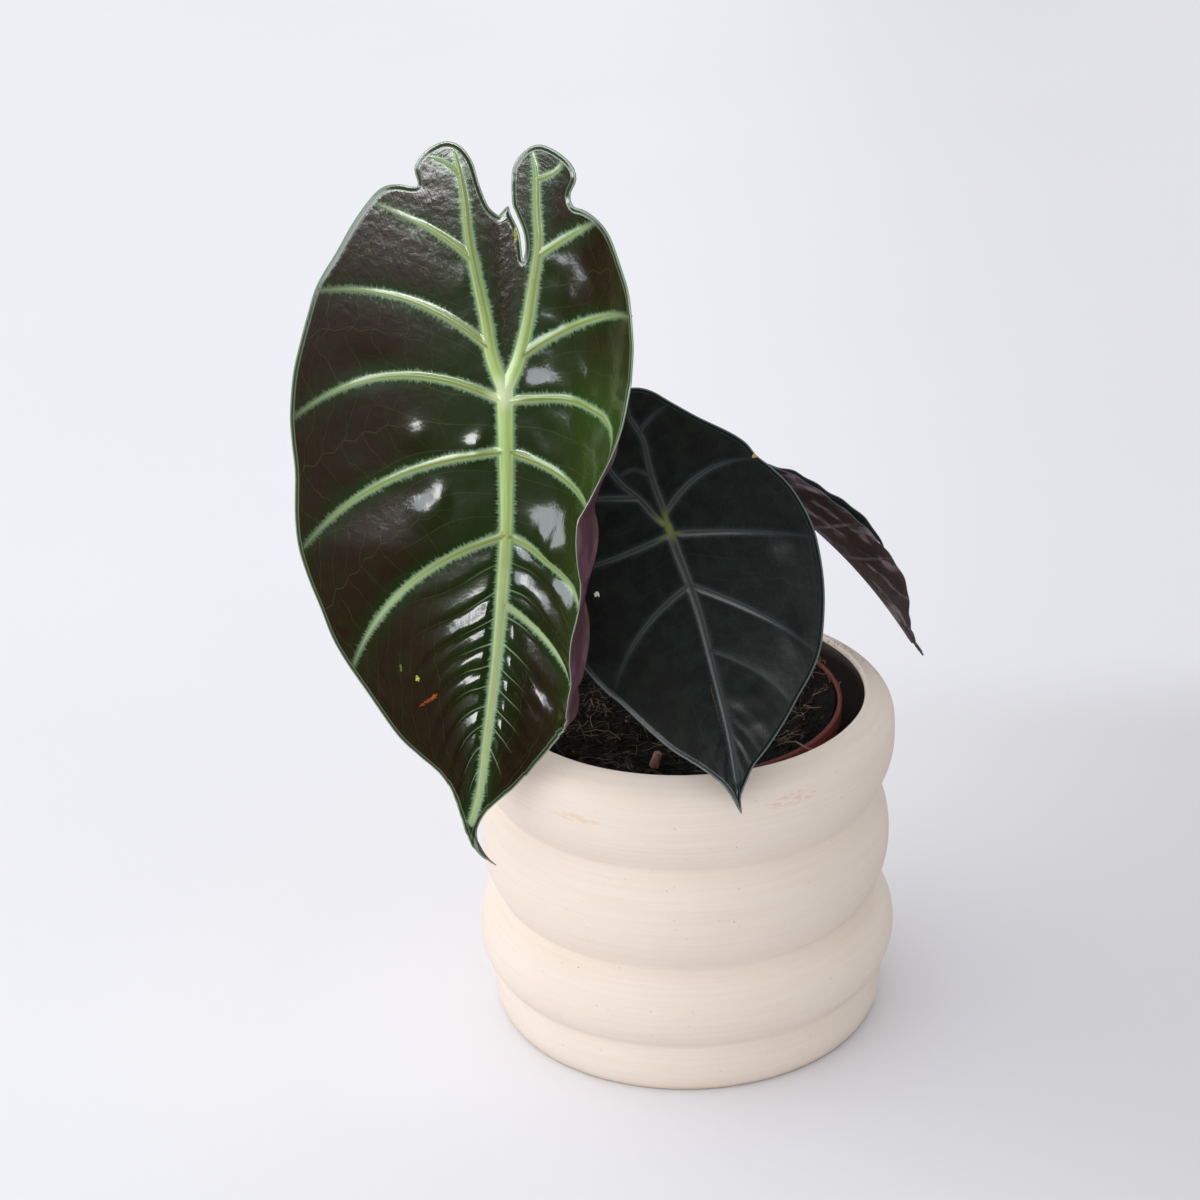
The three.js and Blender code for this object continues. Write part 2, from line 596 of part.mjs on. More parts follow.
function stub() {
  const { radii: [foot, neck], edge } = STUB;
  const top = ROOTED + STUB.height;
  const profile = [[0, 0], [foot - edge, 0], [foot, edge], [foot, ROOTED], [neck, top - edge],
    [neck - edge, top], [0, top - edge]];
  const geometry = turned(profile, STUB.sides);
  const { position } = geometry.attributes;
  for (let i = 0; i < position.count; i += 1) {
    const above = Math.max(0, position.getZ(i) - ROOTED);
    position.setX(i, position.getX(i) + above * STUB.lean);
  }
  return closedSolid(geometry.translate(STUB.at[0], STUB.at[1], SOIL.top - ROOTED));
}

function named(name, geometry, color, roughness) {
  const mesh = new THREE.Mesh(geometry, new THREE.MeshStandardMaterial({ color, roughness, metalness: 0 }));
  mesh.name = name;
  return mesh;
}

const front = prepared(FRONT);
const middle = prepared(MIDDLE);
const back = prepared(BACK);

const plant = new THREE.Group();
plant.add(
  named('pot', pot(), 0xe9dccb, 0.85),
  named('growers_pot', growersPot(), 0x7b3b34, 0.5),
  named('soil', soil([FRONT_STALK, MIDDLE_STALK, BACK_STALK]), 0x1d1a16, 0.95),
  named('cut_stub', stub(), 0xa5786a, 0.6),
  named('front_leaf_stalk', stalk(FRONT_STALK, front), 0x7d8a52, 0.45),
  named('front_leaf_blade', blade(front), 0x2f2a1e, 0.2),
  named('front_leaf_veins', veins(front), 0xa3c56a, 0.35),
  named('middle_leaf_stalk', stalk(MIDDLE_STALK, middle), 0x5c5a48, 0.5),
  named('middle_leaf_blade', blade(middle), 0x16201d, 0.35),
  named('middle_leaf_veins', veins(middle), 0x5f6d72, 0.4),
  named('back_leaf_stalk', stalk(BACK_STALK, back), 0x5a4a48, 0.5),
  named('back_leaf_blade', blade(back), 0x2b2224, 0.35),
  named('back_leaf_veins', veins(back), 0x5f6d72, 0.4),
);

export default plant;
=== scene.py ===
# %% [markdown]
# # A potted jewel alocasia
# Three quilted leaves rise on their stalks from dark soil. The soil fills a thin plastic grower's
# pot, which stands inside a stoneware planter thrown as four soft rings. The solid model of the
# part is loaded first. It stays where it is, and each finer piece made here takes the place of one
# of its nodes. Lengths on the plant and its pots are named in millimetres, and MM turns them into
# Blender's metres. The camera, the floor and the lights are placed in metres.

# %% Load the solid model
import math
import random

import bmesh
import bpy
import numpy as np
from mathutils import Matrix, Vector, noise


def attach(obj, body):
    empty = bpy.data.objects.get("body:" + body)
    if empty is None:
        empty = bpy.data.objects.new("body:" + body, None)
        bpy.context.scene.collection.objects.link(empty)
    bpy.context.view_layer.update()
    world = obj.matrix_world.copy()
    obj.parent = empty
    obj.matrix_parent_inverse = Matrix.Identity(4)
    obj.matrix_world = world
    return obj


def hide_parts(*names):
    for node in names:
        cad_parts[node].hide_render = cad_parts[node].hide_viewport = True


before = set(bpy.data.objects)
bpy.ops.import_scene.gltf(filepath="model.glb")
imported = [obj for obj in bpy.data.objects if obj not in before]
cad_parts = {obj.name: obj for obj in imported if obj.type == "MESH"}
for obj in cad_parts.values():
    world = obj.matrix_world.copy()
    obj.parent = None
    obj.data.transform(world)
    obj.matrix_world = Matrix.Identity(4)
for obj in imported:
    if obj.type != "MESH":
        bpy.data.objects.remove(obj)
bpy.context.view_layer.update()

MM = 0.001


def show(thing):
    """Puts an object in the scene."""
    bpy.context.scene.collection.objects.link(thing)


# %% [markdown]
# ## The camera
# The photograph was taken with a long lens, from a little more than a metre away and about thirty
# degrees above the table. The planter's axis crosses its picture low and to the right, so the lens
# isn't aimed at the planter: the camera is turned until that point falls on its own pixel.

# %% Camera
CAMERA_RISE = math.radians(29.5)
CAMERA_DISTANCE = 1.155
CAMERA_ROLL = math.radians(-0.87)
AIM_HEIGHT = 0.065
AIM_PIXEL = (685.2, 832.5)
PICTURE_SIZE = 1200
FOCAL_PIXELS = 3200
SENSOR = 36


def photo_camera():
    spot = Vector((0, -CAMERA_DISTANCE * math.cos(CAMERA_RISE),
                   AIM_HEIGHT + CAMERA_DISTANCE * math.sin(CAMERA_RISE)))
    forward = Vector((0, math.cos(CAMERA_RISE), -math.sin(CAMERA_RISE)))
    right = Vector((1, 0, 0))
    level = Matrix((right, -right.cross(forward), forward))
    middle = PICTURE_SIZE / 2
    aim = Vector(((AIM_PIXEL[0] - middle) / FOCAL_PIXELS, (AIM_PIXEL[1] - middle) / FOCAL_PIXELS, 1))
    turn = Vector((0, 0, 1)).rotation_difference(aim.normalized()).to_matrix()
    rolled = Matrix.Rotation(CAMERA_ROLL, 3, "Z")
    rows = turn @ rolled @ level
    data = bpy.data.cameras.new("camera")
    data.sensor_width = SENSOR
    data.lens = SENSOR * FOCAL_PIXELS / PICTURE_SIZE
    camera = bpy.data.objects.new("camera", data)
    axes = Matrix((rows[0], -rows[1], -rows[2])).transposed()
    camera.matrix_world = Matrix.Translation(spot) @ axes.to_4x4()
    show(camera)
    bpy.context.scene.camera = camera
    print("camera at", tuple(round(x, 3) for x in spot), "with a lens of", data.lens, "mm")


photo_camera()

# %% [markdown]
# ## A way to write finishes
# A finish is a network of nodes. Written as sums it reads like the thought behind it, so a small
# class wraps a socket and turns + - * / into Math nodes. Everything else goes through one method
# that makes a node from its type, its settings and its inputs.

# %% Finishes as sums
MAP_SPAN = 100


class Level:
    """A number that changes over a surface."""

    def __init__(self, finish, socket):
        self.finish = finish
        self.socket = socket

    def __add__(self, other):
        return self.finish.math("ADD", self, other)

    __radd__ = __add__

    def __sub__(self, other):
        return self.finish.math("SUBTRACT", self, other)

    def __rsub__(self, other):
        return self.finish.math("SUBTRACT", other, self)

    def __mul__(self, other):
        return self.finish.math("MULTIPLY", self, other)

    __rmul__ = __mul__

    def __truediv__(self, other):
        return self.finish.math("DIVIDE", self, other)

    def __rtruediv__(self, other):
        return self.finish.math("DIVIDE", other, self)


class Finish:
    """One material, or the studio's surroundings, and the nodes that colour it."""

    def __init__(self, name, surroundings=None):
        self.material = surroundings or bpy.data.materials.new(name)
        self.material.use_nodes = True
        self.tree = self.material.node_tree
        self.tree.nodes.clear()

    def node(self, kind, settings, inputs, output=0):
        made = self.tree.nodes.new(kind)
        for key, value in settings.items():
            if key == "stops":
                self.set_stops(made.color_ramp, value)
            else:
                setattr(made, key, value)
        for key, value in inputs.items():
            if isinstance(value, Level):
                self.tree.links.new(value.socket, made.inputs[key])
            else:
                made.inputs[key].default_value = value
        return Level(self, made.outputs[output]) if made.outputs else None

    def set_stops(self, ramp, stops):
        while len(ramp.elements) < len(stops):
            ramp.elements.new(0.5)
        for element, (place, colour) in zip(ramp.elements, stops):
            element.position = place
            element.color = colour

    def math(self, operation, a, b=0.0):
        return self.node("ShaderNodeMath", {"operation": operation}, {0: a, 1: b})

    def rise(self, value, start, end):
        """0 where value is at start or before it, 1 from end on, and a smooth ramp between."""
        return self.node("ShaderNodeMapRange", {"interpolation_type": "SMOOTHSTEP"},
                         {"Value": value, "From Min": start, "From Max": end})

    def mix(self, share, a, b):
        return self.node("ShaderNodeMix", {"data_type": "RGBA"}, {0: share, 6: a, 7: b}, 2)

    def place(self, scale=(1, 1, 1)):
        """Object coordinates in millimetres, stretched along each axis."""
        spot = self.node("ShaderNodeTexCoord", {}, {}, 3)
        size = [stretch / MM for stretch in scale]
        return self.node("ShaderNodeVectorMath", {"operation": "MULTIPLY"}, {0: spot, 1: size})

    def chart(self):
        """Places on the flat leaf in millimetres, from the map that a blade carries."""
        spot = self.node("ShaderNodeUVMap", {"uv_map": "flat"}, {})
        span = (MAP_SPAN, MAP_SPAN, 0)
        return self.node("ShaderNodeVectorMath", {"operation": "MULTIPLY"}, {0: spot, 1: span})

    def part(self, vector, axis):
        return self.node("ShaderNodeSeparateXYZ", {}, {0: vector}, "XYZ".index(axis))

    def pair(self, x, y, z=0.0):
        return self.node("ShaderNodeCombineXYZ", {}, {0: x, 1: y, 2: z})

    def length(self, vector):
        return self.node("ShaderNodeVectorMath", {"operation": "LENGTH"}, {0: vector}, 1)

    def attribute(self, name):
        return self.node("ShaderNodeAttribute", {"attribute_name": name}, {}, 2)

    def clouds(self, vector, scale, detail=3.0, rough=0.5):
        return self.node("ShaderNodeTexNoise", {},
                         {"Vector": vector, "Scale": scale, "Detail": detail, "Roughness": rough})

    def cells(self, vector, scale):
        """Distance to the nearest of many scattered points."""
        return self.node("ShaderNodeTexVoronoi", {}, {"Vector": vector, "Scale": scale})

    def bump(self, height, distance, strength=1.0):
        return self.node("ShaderNodeBump", {}, {"Height": height, "Distance": distance,
                                                "Strength": strength})

    def surface(self, **inputs):
        """The shader that all of it feeds. Words in the names stand for the sockets' own names."""
        named = {key.replace("_", " ").title().replace("Ior", "IOR"): value
                 for key, value in inputs.items()}
        shader = self.node("ShaderNodeBsdfPrincipled", {}, named)
        self.node("ShaderNodeOutputMaterial", {}, {"Surface": shader})
        return self.material


def colour(red, green, blue):
    """A colour as a screen shows it, turned into the linear light that shaders use."""
    def linear(level):
        level /= 255
        return level / 12.92 if level <= 0.04045 else ((level + 0.055) / 1.055) ** 2.4
    return (linear(red), linear(green), linear(blue), 1)


# %% [markdown]
# ## Making a piece
# Every mesh ends the same way: it becomes an object at the origin, gets its finishes and smooth
# shading, rides on the part's one body and takes the place of its nodes.

# %% Finish a piece
SAME_PLACE = 0.001


def finish_piece(name, mesh, materials, replaced):
    """Makes an object of the mesh and hides the part's nodes that it takes the place of."""
    mesh.name = name
    piece = bpy.data.objects.new(name, mesh)
    show(piece)
    for material in materials:
        mesh.materials.append(material)
    mesh.polygons.foreach_set("use_smooth", [True] * len(mesh.polygons))
    mesh.update()
    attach(piece, "root")
    if replaced:
        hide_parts(*replaced)
    print(name, "has", len(mesh.polygons), "faces")
    return piece


def mesh_of(bm):
    mesh = bpy.data.meshes.new("piece")
    bm.to_mesh(mesh)
    bm.free()
    return mesh


def spun(profile, steps, centre=(0, 0)):
    """Turns a profile of (radius, height) in millimetres round an upright axis."""
    bm = bmesh.new()
    verts = [bm.verts.new((radius * MM, 0, height * MM)) for radius, height in profile]
    edges = [bm.edges.new(pair) for pair in zip(verts, verts[1:])]
    bmesh.ops.spin(bm, geom=verts + edges, cent=(0, 0, 0), axis=(0, 0, 1), dvec=(0, 0, 0),
                   angle=math.tau, steps=steps, use_merge=True, use_duplicate=False)
    bmesh.ops.remove_doubles(bm, verts=bm.verts, dist=SAME_PLACE * MM)
    bmesh.ops.recalc_face_normals(bm, faces=bm.faces)
    bmesh.ops.translate(bm, verts=bm.verts, vec=(centre[0] * MM, centre[1] * MM, 0))
    return bm


# %% [markdown]
# ## The stoneware planter
# On the real planter each ring was pushed out from inside on the wheel, so a section through the
# wall is a row of arcs that meet in soft grooves. A lathe is the natural tool: the section is
# worked out from the crests and grooves, blurred a little so that the grooves are round, and spun.
# The inner wall is dark, and the lip stays cream.

# %% Planter section
FOOT = [(0, 0), (67.2, 0)]
CRESTS_AND_GROOVES = [(68.2, 1.4), (70.5, 10), (69.6, 19), (75, 31.5), (66.6, 48.5), (72.8, 68),
                      (67.6, 88), (74.6, 107), (65.6, 123.2)]
LIP = [(65.2, 123.45), (64.7, 123.5), (64.2, 123.2), (63.8, 122)]
INSIDE = [(64.6, 119), (66.8, 114), (68.6, 107), (66.5, 97), (62, 88), (66.8, 68), (60.8, 48.5),
          (69, 31.5), (63.6, 19), (60, 10), (57, 7), (0, 7)]
SWELL = 2.2
SHOULDER = 4
SECTION_STEP = 0.75
GROOVE_BLUR = 0.9
BLUR_SAMPLES = 4
CRISP_FROM = 112
CRISP_AT = 116
PLANTER_STEPS = 168
DARK_BELOW = 121.6
FLOOR_EDGE = 58
WANDER_FROM = 4
WANDER_TO = 121


def wall_radius(height):
    """Radius of the outer wall: each ring falls away from its crest towards the grooves."""
    stops = CRESTS_AND_GROOVES
    for (r0, z0), (r1, z1) in zip(stops, stops[1:]):
        if height <= z1:
            share = (height - z0) / (z1 - z0)
            power = SHOULDER if (r1, z1) == stops[-1] else SWELL
            step = 1 - (1 - share) ** power if r1 > r0 else share ** power
            return r0 + (r1 - r0) * step
    return stops[-1][0]


def ramp(values, start, end):
    """0 up to start, 1 from end on, and a straight line between."""
    return np.clip((values - start) / (end - start), 0, 1)


def planter_section():
    """The whole section. Its outer line is blurred, but it stays crisp at the lip."""
    low, high = CRESTS_AND_GROOVES[0][1], CRESTS_AND_GROOVES[-1][1]
    heights = np.arange(low, high, SECTION_STEP)
    radii = np.array([wall_radius(z) for z in heights])
    offsets = np.arange(-BLUR_SAMPLES, BLUR_SAMPLES + 1) * SECTION_STEP
    weights = np.exp(-(offsets / GROOVE_BLUR) ** 2)
    soft = np.convolve(np.pad(radii, BLUR_SAMPLES, "edge"), weights / weights.sum(), "valid")
    crisp = ramp(heights, CRISP_FROM, CRISP_AT)
    radii = soft * (1 - crisp) + radii * crisp
    return FOOT + list(zip(radii, heights)) + [CRESTS_AND_GROOVES[-1]] + LIP + INSIDE


def thrown_by_hand(bm):
    """Hands leave the wall a little uneven: a few tenths of a millimetre in and out."""
    for vert in bm.verts:
        x, y, z = vert.co
        reach = math.hypot(x, y)
        if reach < FLOOR_EDGE * MM:
            continue
        drift = noise.noise(Vector((x * 14, y * 14, z * 20))) * 0.28 * MM
        vert.co.x += x / reach * drift
        vert.co.y += y / reach * drift
        if WANDER_FROM * MM < z < WANDER_TO * MM:
            vert.co.z += noise.noise(Vector((x * 9 + 5, y * 9, z * 8))) * 0.7 * MM


planter = spun(planter_section(), PLANTER_STEPS)
thrown_by_hand(planter)
for face in planter.faces:
    spot = face.calc_center_median()
    inwards = face.normal.x * spot.x + face.normal.y * spot.y < 0 or face.normal.z > 0.9
    if inwards and spot.z < DARK_BELOW * MM:
        face.material_index = 1

# %% [markdown]
# The clay is bare and cream, with a faint mottle, fine lines left by turning, some pits and tiny
# iron specks, one ochre smudge on the front and a rosy one to the right, and rust-brown dots on the
# lip at the back right. All of it is worked out from the place on the planter, so nothing needs a
# map.

# %% Stoneware finish


def stoneware():
    clay = Finish("stoneware")
    spot = clay.place()
    mottle = clay.clouds(spot, 0.03, 4)
    grain = clay.clouds(spot, 1.6, 4, 0.65)
    rings = clay.clouds(clay.place((0.02, 0.02, 1)), 0.9, 5, 0.6)
    specks = 1 - clay.rise(clay.cells(spot, 0.22), 0.045, 0.085)
    dots = 1 - clay.rise(clay.cells(clay.place((1, 1, 1.1)), 0.09), 0.012, 0.028)
    base = clay.mix(mottle, colour(238, 226, 215), colour(232, 218, 204))
    base = clay.mix(clay.rise(rings, 0.35, 0.7) * 0.3, base, colour(225, 208, 190))
    base = clay.mix(specks * grain * 0.5, base, colour(196, 172, 148))
    base = clay.mix(dots * 0.7, base, colour(120, 84, 60))
    x, y, z = clay.part(spot, "X"), clay.part(spot, "Y"), clay.part(spot, "Z")
    front = 1 - clay.rise(y, -30, 10)
    smear = clay.clouds(clay.place((0.5, 1, 2.2)), 0.5, 4)
    ochre = smudge(clay, x, z, (-36, 108), (9, 2.2)) * front
    base = clay.mix(ochre * clay.rise(smear, 0.4, 0.6) * 0.4, base, colour(226, 182, 124))
    rosy = smudge(clay, x, z, (36, 114), (11, 3)) * front
    base = clay.mix(rosy * clay.rise(smear, 0.42, 0.62) * 0.3, base, colour(214, 150, 140))
    back_lip = clay.rise(x, 34, 44) * clay.rise(y, 8, 24) * clay.rise(z, 117, 121)
    rust = (1 - clay.rise(clay.cells(spot, 0.55), 0.18, 0.34)) * back_lip
    base = clay.mix(rust * clay.rise(clay.clouds(spot, 0.16, 2), 0.5, 0.58) * 0.8, base,
                    colour(104, 74, 50))
    foot = 1 - clay.rise(z, 0, 3.5)
    base = clay.mix(foot * 0.35, base, colour(190, 165, 142))
    height = grain * 0.25 + rings * 0.5 - specks * 0.7 - dots * 0.8
    return clay.surface(base_color=base, roughness=0.78 + grain * 0.12, specular_ior_level=0.25,
                        normal=clay.bump(height, 0.00022, 0.8))


def smudge(finish, x, z, centre, reach):
    """1 in the middle of an oval on the wall, 0 outside it."""
    across = (x - centre[0]) / reach[0]
    along = (z - centre[1]) / reach[1]
    return 1 - finish.rise(across * across + along * along, 0.2, 1.0)


def dark_inside():
    clay = Finish("dark_inside")
    spot = clay.place()
    cloud = clay.clouds(spot, 0.05, 4)
    grain = clay.clouds(spot, 1.4, 3)
    base = clay.mix(cloud, colour(80, 70, 66), colour(98, 86, 80))
    return clay.surface(base_color=base, roughness=0.6 + grain * 0.2,
                        normal=clay.bump(grain, 0.00015, 0.6))


finish_piece("planter", mesh_of(planter), [stoneware(), dark_inside()], ["pot"])

# %% [markdown]
# ## The grower's pot
# It is one thin moulding in red-brown plastic with a wider band at its top. Only that band shows,
# at the right, between the soil and the planter's dark wall. It is spun round its own axis, which
# stands a few millimetres off the planter's.

# %% Grower's pot
CUP_MIDDLE = (-3.5, 2)
CUP_SEAT = 7.3
CUP_SECTION = [(0, 0), (40, 0), (41.5, 1.5), (56.8, 104.7), (59, 104.7), (59.6, 105.3),
               (59.6, 111.1), (59, 111.7), (58.5, 111.7), (58, 111.2), (58, 106.3), (55.2, 103.1),
               (39.9, 2.6), (38.9, 1.6), (0, 1.6)]
CUP_STEPS = 120
CUP_ROUNDING = 0.25
SHARP_ANGLE = 0.6


def cup_plastic():
    plastic = Finish("grower_plastic")
    spot = plastic.place()
    cloud = plastic.clouds(spot, 0.08, 3)
    scuffs = plastic.clouds(plastic.place((1, 1, 0.3)), 1.2, 4, 0.7)
    base = plastic.mix(cloud, colour(146, 76, 66), colour(122, 60, 53))
    base = plastic.mix(plastic.rise(scuffs, 0.56, 0.75) * 0.5, base, colour(150, 100, 88))
    return plastic.surface(base_color=base, roughness=0.42 + scuffs * 0.25,
                           normal=plastic.bump(scuffs, 0.0002, 0.5))


cup = spun([(radius, height + CUP_SEAT) for radius, height in CUP_SECTION], CUP_STEPS, CUP_MIDDLE)
sharp = [edge for edge in cup.edges if edge.calc_face_angle(0) > SHARP_ANGLE]
bmesh.ops.bevel(cup, geom=sharp, offset=CUP_ROUNDING * MM, segments=2, profile=0.5,
                affect="EDGES", material=-1)
finish_piece("growers_cup", mesh_of(cup), [cup_plastic()], ["growers_pot"])

# %% [markdown]
# ## The soil
# Damp peat looks almost black, with a greenish cast, and its surface is a tangle of crumbs, bark
# and root fibres. The bed is a spun disc pushed up and down by noise. Crumbs are small rough
# grains scattered over it, and the fibres are thin bent wires, some of which have grown over the
# rim of the grower's pot. All random draws come from one seeded generator.

# %% Soil bed
SOIL_TOP = 111
SOIL_FOOT = 9.2
SOIL_FOOT_REACH = 39
SOIL_REACH = 54.4
SOIL_SHOULDER = 3
SOIL_EDGE = 0.4
HEAP_RISE = 6.8
HEAP_TURN = 0.3
HEAP_FROM = 40
HEAP_FULL = 53
HEAP_REACH = 57.9
HEAP_ALL_ROUND = 0.45
SOIL_RINGS = 66
SOIL_STEPS = 200
SCATTER_SEED = 5


def from_cup_middle(x, y):
    """Direction and distance of a place from the axis of the grower's pot."""
    x, y = x - CUP_MIDDLE[0], y - CUP_MIDDLE[1]
    return math.atan2(y, x), math.hypot(x, y)


def heap_share(x, y):
    """The soil is banked up against the grower's pot, most at the back right, where this is 1."""
    turn, out = from_cup_middle(x, y)
    near_wall = min(1, max(0, (out - HEAP_FROM) / (HEAP_FULL - HEAP_FROM)))
    facing = max(0, math.cos(turn - HEAP_TURN))
    return near_wall * (HEAP_ALL_ROUND + (1 - HEAP_ALL_ROUND) * facing)


def soil_height(x, y):
    """Height of the soil in millimetres over a place given in millimetres."""
    broad = noise.noise(Vector((x * 0.045, y * 0.045, 3)))
    lumps = noise.fractal(Vector((x * 0.17, y * 0.17, 1)), 0.9, 2.1, 4)
    crumbs = noise.cell(Vector((x * 0.55, y * 0.55, 7)))
    heap = heap_share(x, y)
    uneven = broad * 1.6 + lumps * 1.1 + crumbs * 0.55
    return SOIL_TOP + uneven * (1 - 0.5 * heap) + HEAP_RISE * heap


def soil_bed():
    rim = SOIL_REACH - SOIL_EDGE
    flat = [(rim * ring / SOIL_RINGS, SOIL_TOP) for ring in range(SOIL_RINGS, -1, -1)]
    section = [(0, SOIL_FOOT), (SOIL_FOOT_REACH, SOIL_FOOT),
               (SOIL_REACH, SOIL_TOP - SOIL_SHOULDER)] + flat
    bm = spun(section, SOIL_STEPS, CUP_MIDDLE)
    middle = Vector((*CUP_MIDDLE, 0)) * MM
    for vert in bm.verts:
        if vert.co.z > (SOIL_TOP - 1) * MM:
            x, y = vert.co.x / MM, vert.co.y / MM
            wider = 1 + (HEAP_REACH / SOIL_REACH - 1) * heap_share(x, y)
            vert.co.x = middle.x + (vert.co.x - middle.x) * wider
            vert.co.y = middle.y + (vert.co.y - middle.y) * wider
            vert.co.z = soil_height(x, y) * MM
    return bm


def peat():
    earth = Finish("peat")
    spot = earth.place()
    cloud = earth.clouds(spot, 0.12, 5, 0.6)
    fine = earth.clouds(spot, 1.1, 6, 0.75)
    strands = earth.clouds(earth.place((0.25, 1.4, 1)), 0.9, 4, 0.6)
    base = earth.mix(cloud, colour(11, 11, 9), colour(25, 24, 18))
    base = earth.mix(earth.rise(fine, 0.52, 0.66) * 0.6, base, colour(29, 37, 27))
    base = earth.mix(earth.rise(strands, 0.6, 0.7) * 0.5, base, colour(60, 48, 33))
    return earth.surface(base_color=base, roughness=0.85 + fine * 0.1,
                         normal=earth.bump(fine + strands * 0.6, 0.0012, 0.9))


finish_piece("soil_bed", mesh_of(soil_bed()), [peat()], ["soil"])

# %% Crumbs and bark
CRUMBS = 1150
BARK_CHIPS = 46
scatter = random.Random(SCATTER_SEED)


def scattered_spot(reach):
    turn = scatter.uniform(0, math.tau)
    out = reach * math.sqrt(scatter.random())
    return CUP_MIDDLE[0] + out * math.cos(turn), CUP_MIDDLE[1] + out * math.sin(turn)


def crumb(bm, tone, x, y, size, flat):
    """One rough grain: a small ball, flattened, turned and with its corners pulled about."""
    turn = Matrix.Rotation(scatter.uniform(0, math.tau), 4, "Z")
    tilt = Matrix.Rotation(scatter.uniform(-0.5, 0.5), 4, "X")
    height = soil_height(x, y) + size * flat[1] * 0.3
    spot = Vector((x, y, height)) * MM
    shape = Matrix.Diagonal((size * MM, size * MM * flat[0], size * MM * flat[1], 1))
    made = bmesh.ops.create_icosphere(bm, subdivisions=1, radius=1,
                                      matrix=Matrix.Translation(spot) @ turn @ tilt @ shape)
    for vert in made["verts"]:
        vert.co = spot + (vert.co - spot) * scatter.uniform(0.7, 1.25)
        vert[tone[0]] = tone[1]


def crumbs_and_bark():
    bm = bmesh.new()
    tone = bm.verts.layers.float.new("tone")
    for _ in range(CRUMBS):
        x, y = scattered_spot(SOIL_REACH + 0.5)
        shade = scatter.random() ** 3 * 0.6
        crumb(bm, (tone, shade), x, y, scatter.uniform(0.35, 1.1), (0.8, 0.7))
    for _ in range(BARK_CHIPS):
        x, y = scattered_spot(SOIL_REACH - 5)
        crumb(bm, (tone, scatter.uniform(0.5, 1)), x, y, scatter.uniform(1.2, 2.6), (0.4, 0.22))
    return bm


def crumb_finish():
    earth = Finish("crumbs")
    tone = earth.attribute("tone")
    fine = earth.clouds(earth.place(), 1.5, 5, 0.7)
    shades = [(0, colour(10, 10, 8)), (0.35, colour(27, 25, 18)), (0.65, colour(66, 48, 34)),
              (1, colour(112, 88, 64))]
    base = earth.node("ShaderNodeValToRGB", {"stops": shades}, {"Fac": tone + fine * 0.15})
    return earth.surface(base_color=base, roughness=0.8 + fine * 0.15,
                         normal=earth.bump(fine, 0.0004, 0.8))


finish_piece("soil_crumbs", mesh_of(crumbs_and_bark()), [crumb_finish()], [])

# %% Root fibres
LOOSE_FIBRES = 420
RIM_FIBRES = 26
FIBRE_STEPS = 6
CUP_RIM_INSIDE = 57.4
CUP_RIM_TOP = 119.2
PLANTER_WALL = 60


def wire(runs, roundness=1):
    """Thin tubes along lists of (x, y, z, radius) in millimetres, as one mesh."""
    curve = bpy.data.curves.new("wire", "CURVE")
    curve.dimensions = "3D"
    curve.bevel_depth = MM
    curve.bevel_resolution = roundness
    curve.use_fill_caps = True
    for run in runs:
        line = curve.splines.new("POLY")
        line.points.add(len(run) - 1)
        for point, (x, y, z, radius) in zip(line.points, run):
            point.co = (x * MM, y * MM, z * MM, 1)
            point.radius = radius
    maker = bpy.data.objects.new("wire", curve)
    show(maker)
    bpy.context.view_layer.update()
    mesh = bpy.data.meshes.new_from_object(maker)
    bpy.data.objects.remove(maker)
    bpy.data.curves.remove(curve)
    return mesh


def loose_fibre():
    """A bent fibre that lies on the soil and rises a little in the middle."""
    x, y = scattered_spot(SOIL_REACH - 7)
    turn = scatter.uniform(0, math.tau)
    bend = scatter.uniform(-0.35, 0.35)
    length = scatter.uniform(4, 17)
    hump = scatter.uniform(0.1, 1.5)
    thickness = 0.05 + 0.14 * scatter.random() ** 2
    run = []
    for step in range(FIBRE_STEPS + 1):
        share = step / FIBRE_STEPS
        height = soil_height(x, y) + hump * math.sin(math.pi * share) - 0.2
        run.append((x, y, height, thickness * (1.1 - share * 0.6)))
        turn += bend * scatter.uniform(0.3, 1)
        x += math.cos(turn) * length / FIBRE_STEPS
        y += math.sin(turn) * length / FIBRE_STEPS
        if from_cup_middle(x, y)[1] > SOIL_REACH - 1:
            break
    return run


def rim_fibre():
    """A short curly root in the tangle that has grown over the grower's rim, at the back right."""
    turn = scatter.uniform(0.05, 0.8)
    out = scatter.triangular(48, 59.5, 57)
    heading = turn + math.pi / 2 + scatter.gauss(0, 0.7)
    x, y = CUP_MIDDLE[0] + out * math.cos(turn), CUP_MIDDLE[1] + out * math.sin(turn)
    height = scatter.uniform(0.2, 1.8)
    thickness = scatter.uniform(0.1, 0.22)
    length = scatter.uniform(4, 11)
    run = []
    for step in range(FIBRE_STEPS + 1):
        on_rim = from_cup_middle(x, y)[1] > CUP_RIM_INSIDE
        ground = CUP_RIM_TOP if on_rim else soil_height(x, y)
        lift = height * math.sin(math.pi * (step + 1) / (FIBRE_STEPS + 2))
        thinner = 1.1 - step / (FIBRE_STEPS + 2)
        run.append((x, y, ground + lift, thickness * thinner))
        heading += scatter.gauss(0, 0.5)
        if from_cup_middle(x + math.cos(heading), y + math.sin(heading))[1] > PLANTER_WALL:
            heading += math.pi / 2
        x += math.cos(heading) * length / FIBRE_STEPS
        y += math.sin(heading) * length / FIBRE_STEPS
    return run


def looping_root():
    """The thin root that loops up beside the middle leaf and over the grower's rim."""
    spots = [(31.9, -23.9, 112), (34.9, -27, 115.5), (38.5, -33.1, 118.8), (40.7, -38.6, 120),
             (42.7, -41, 120), (44.8, -40.4, 119.4)]
    return [(*spot, 0.3) for spot in spots]


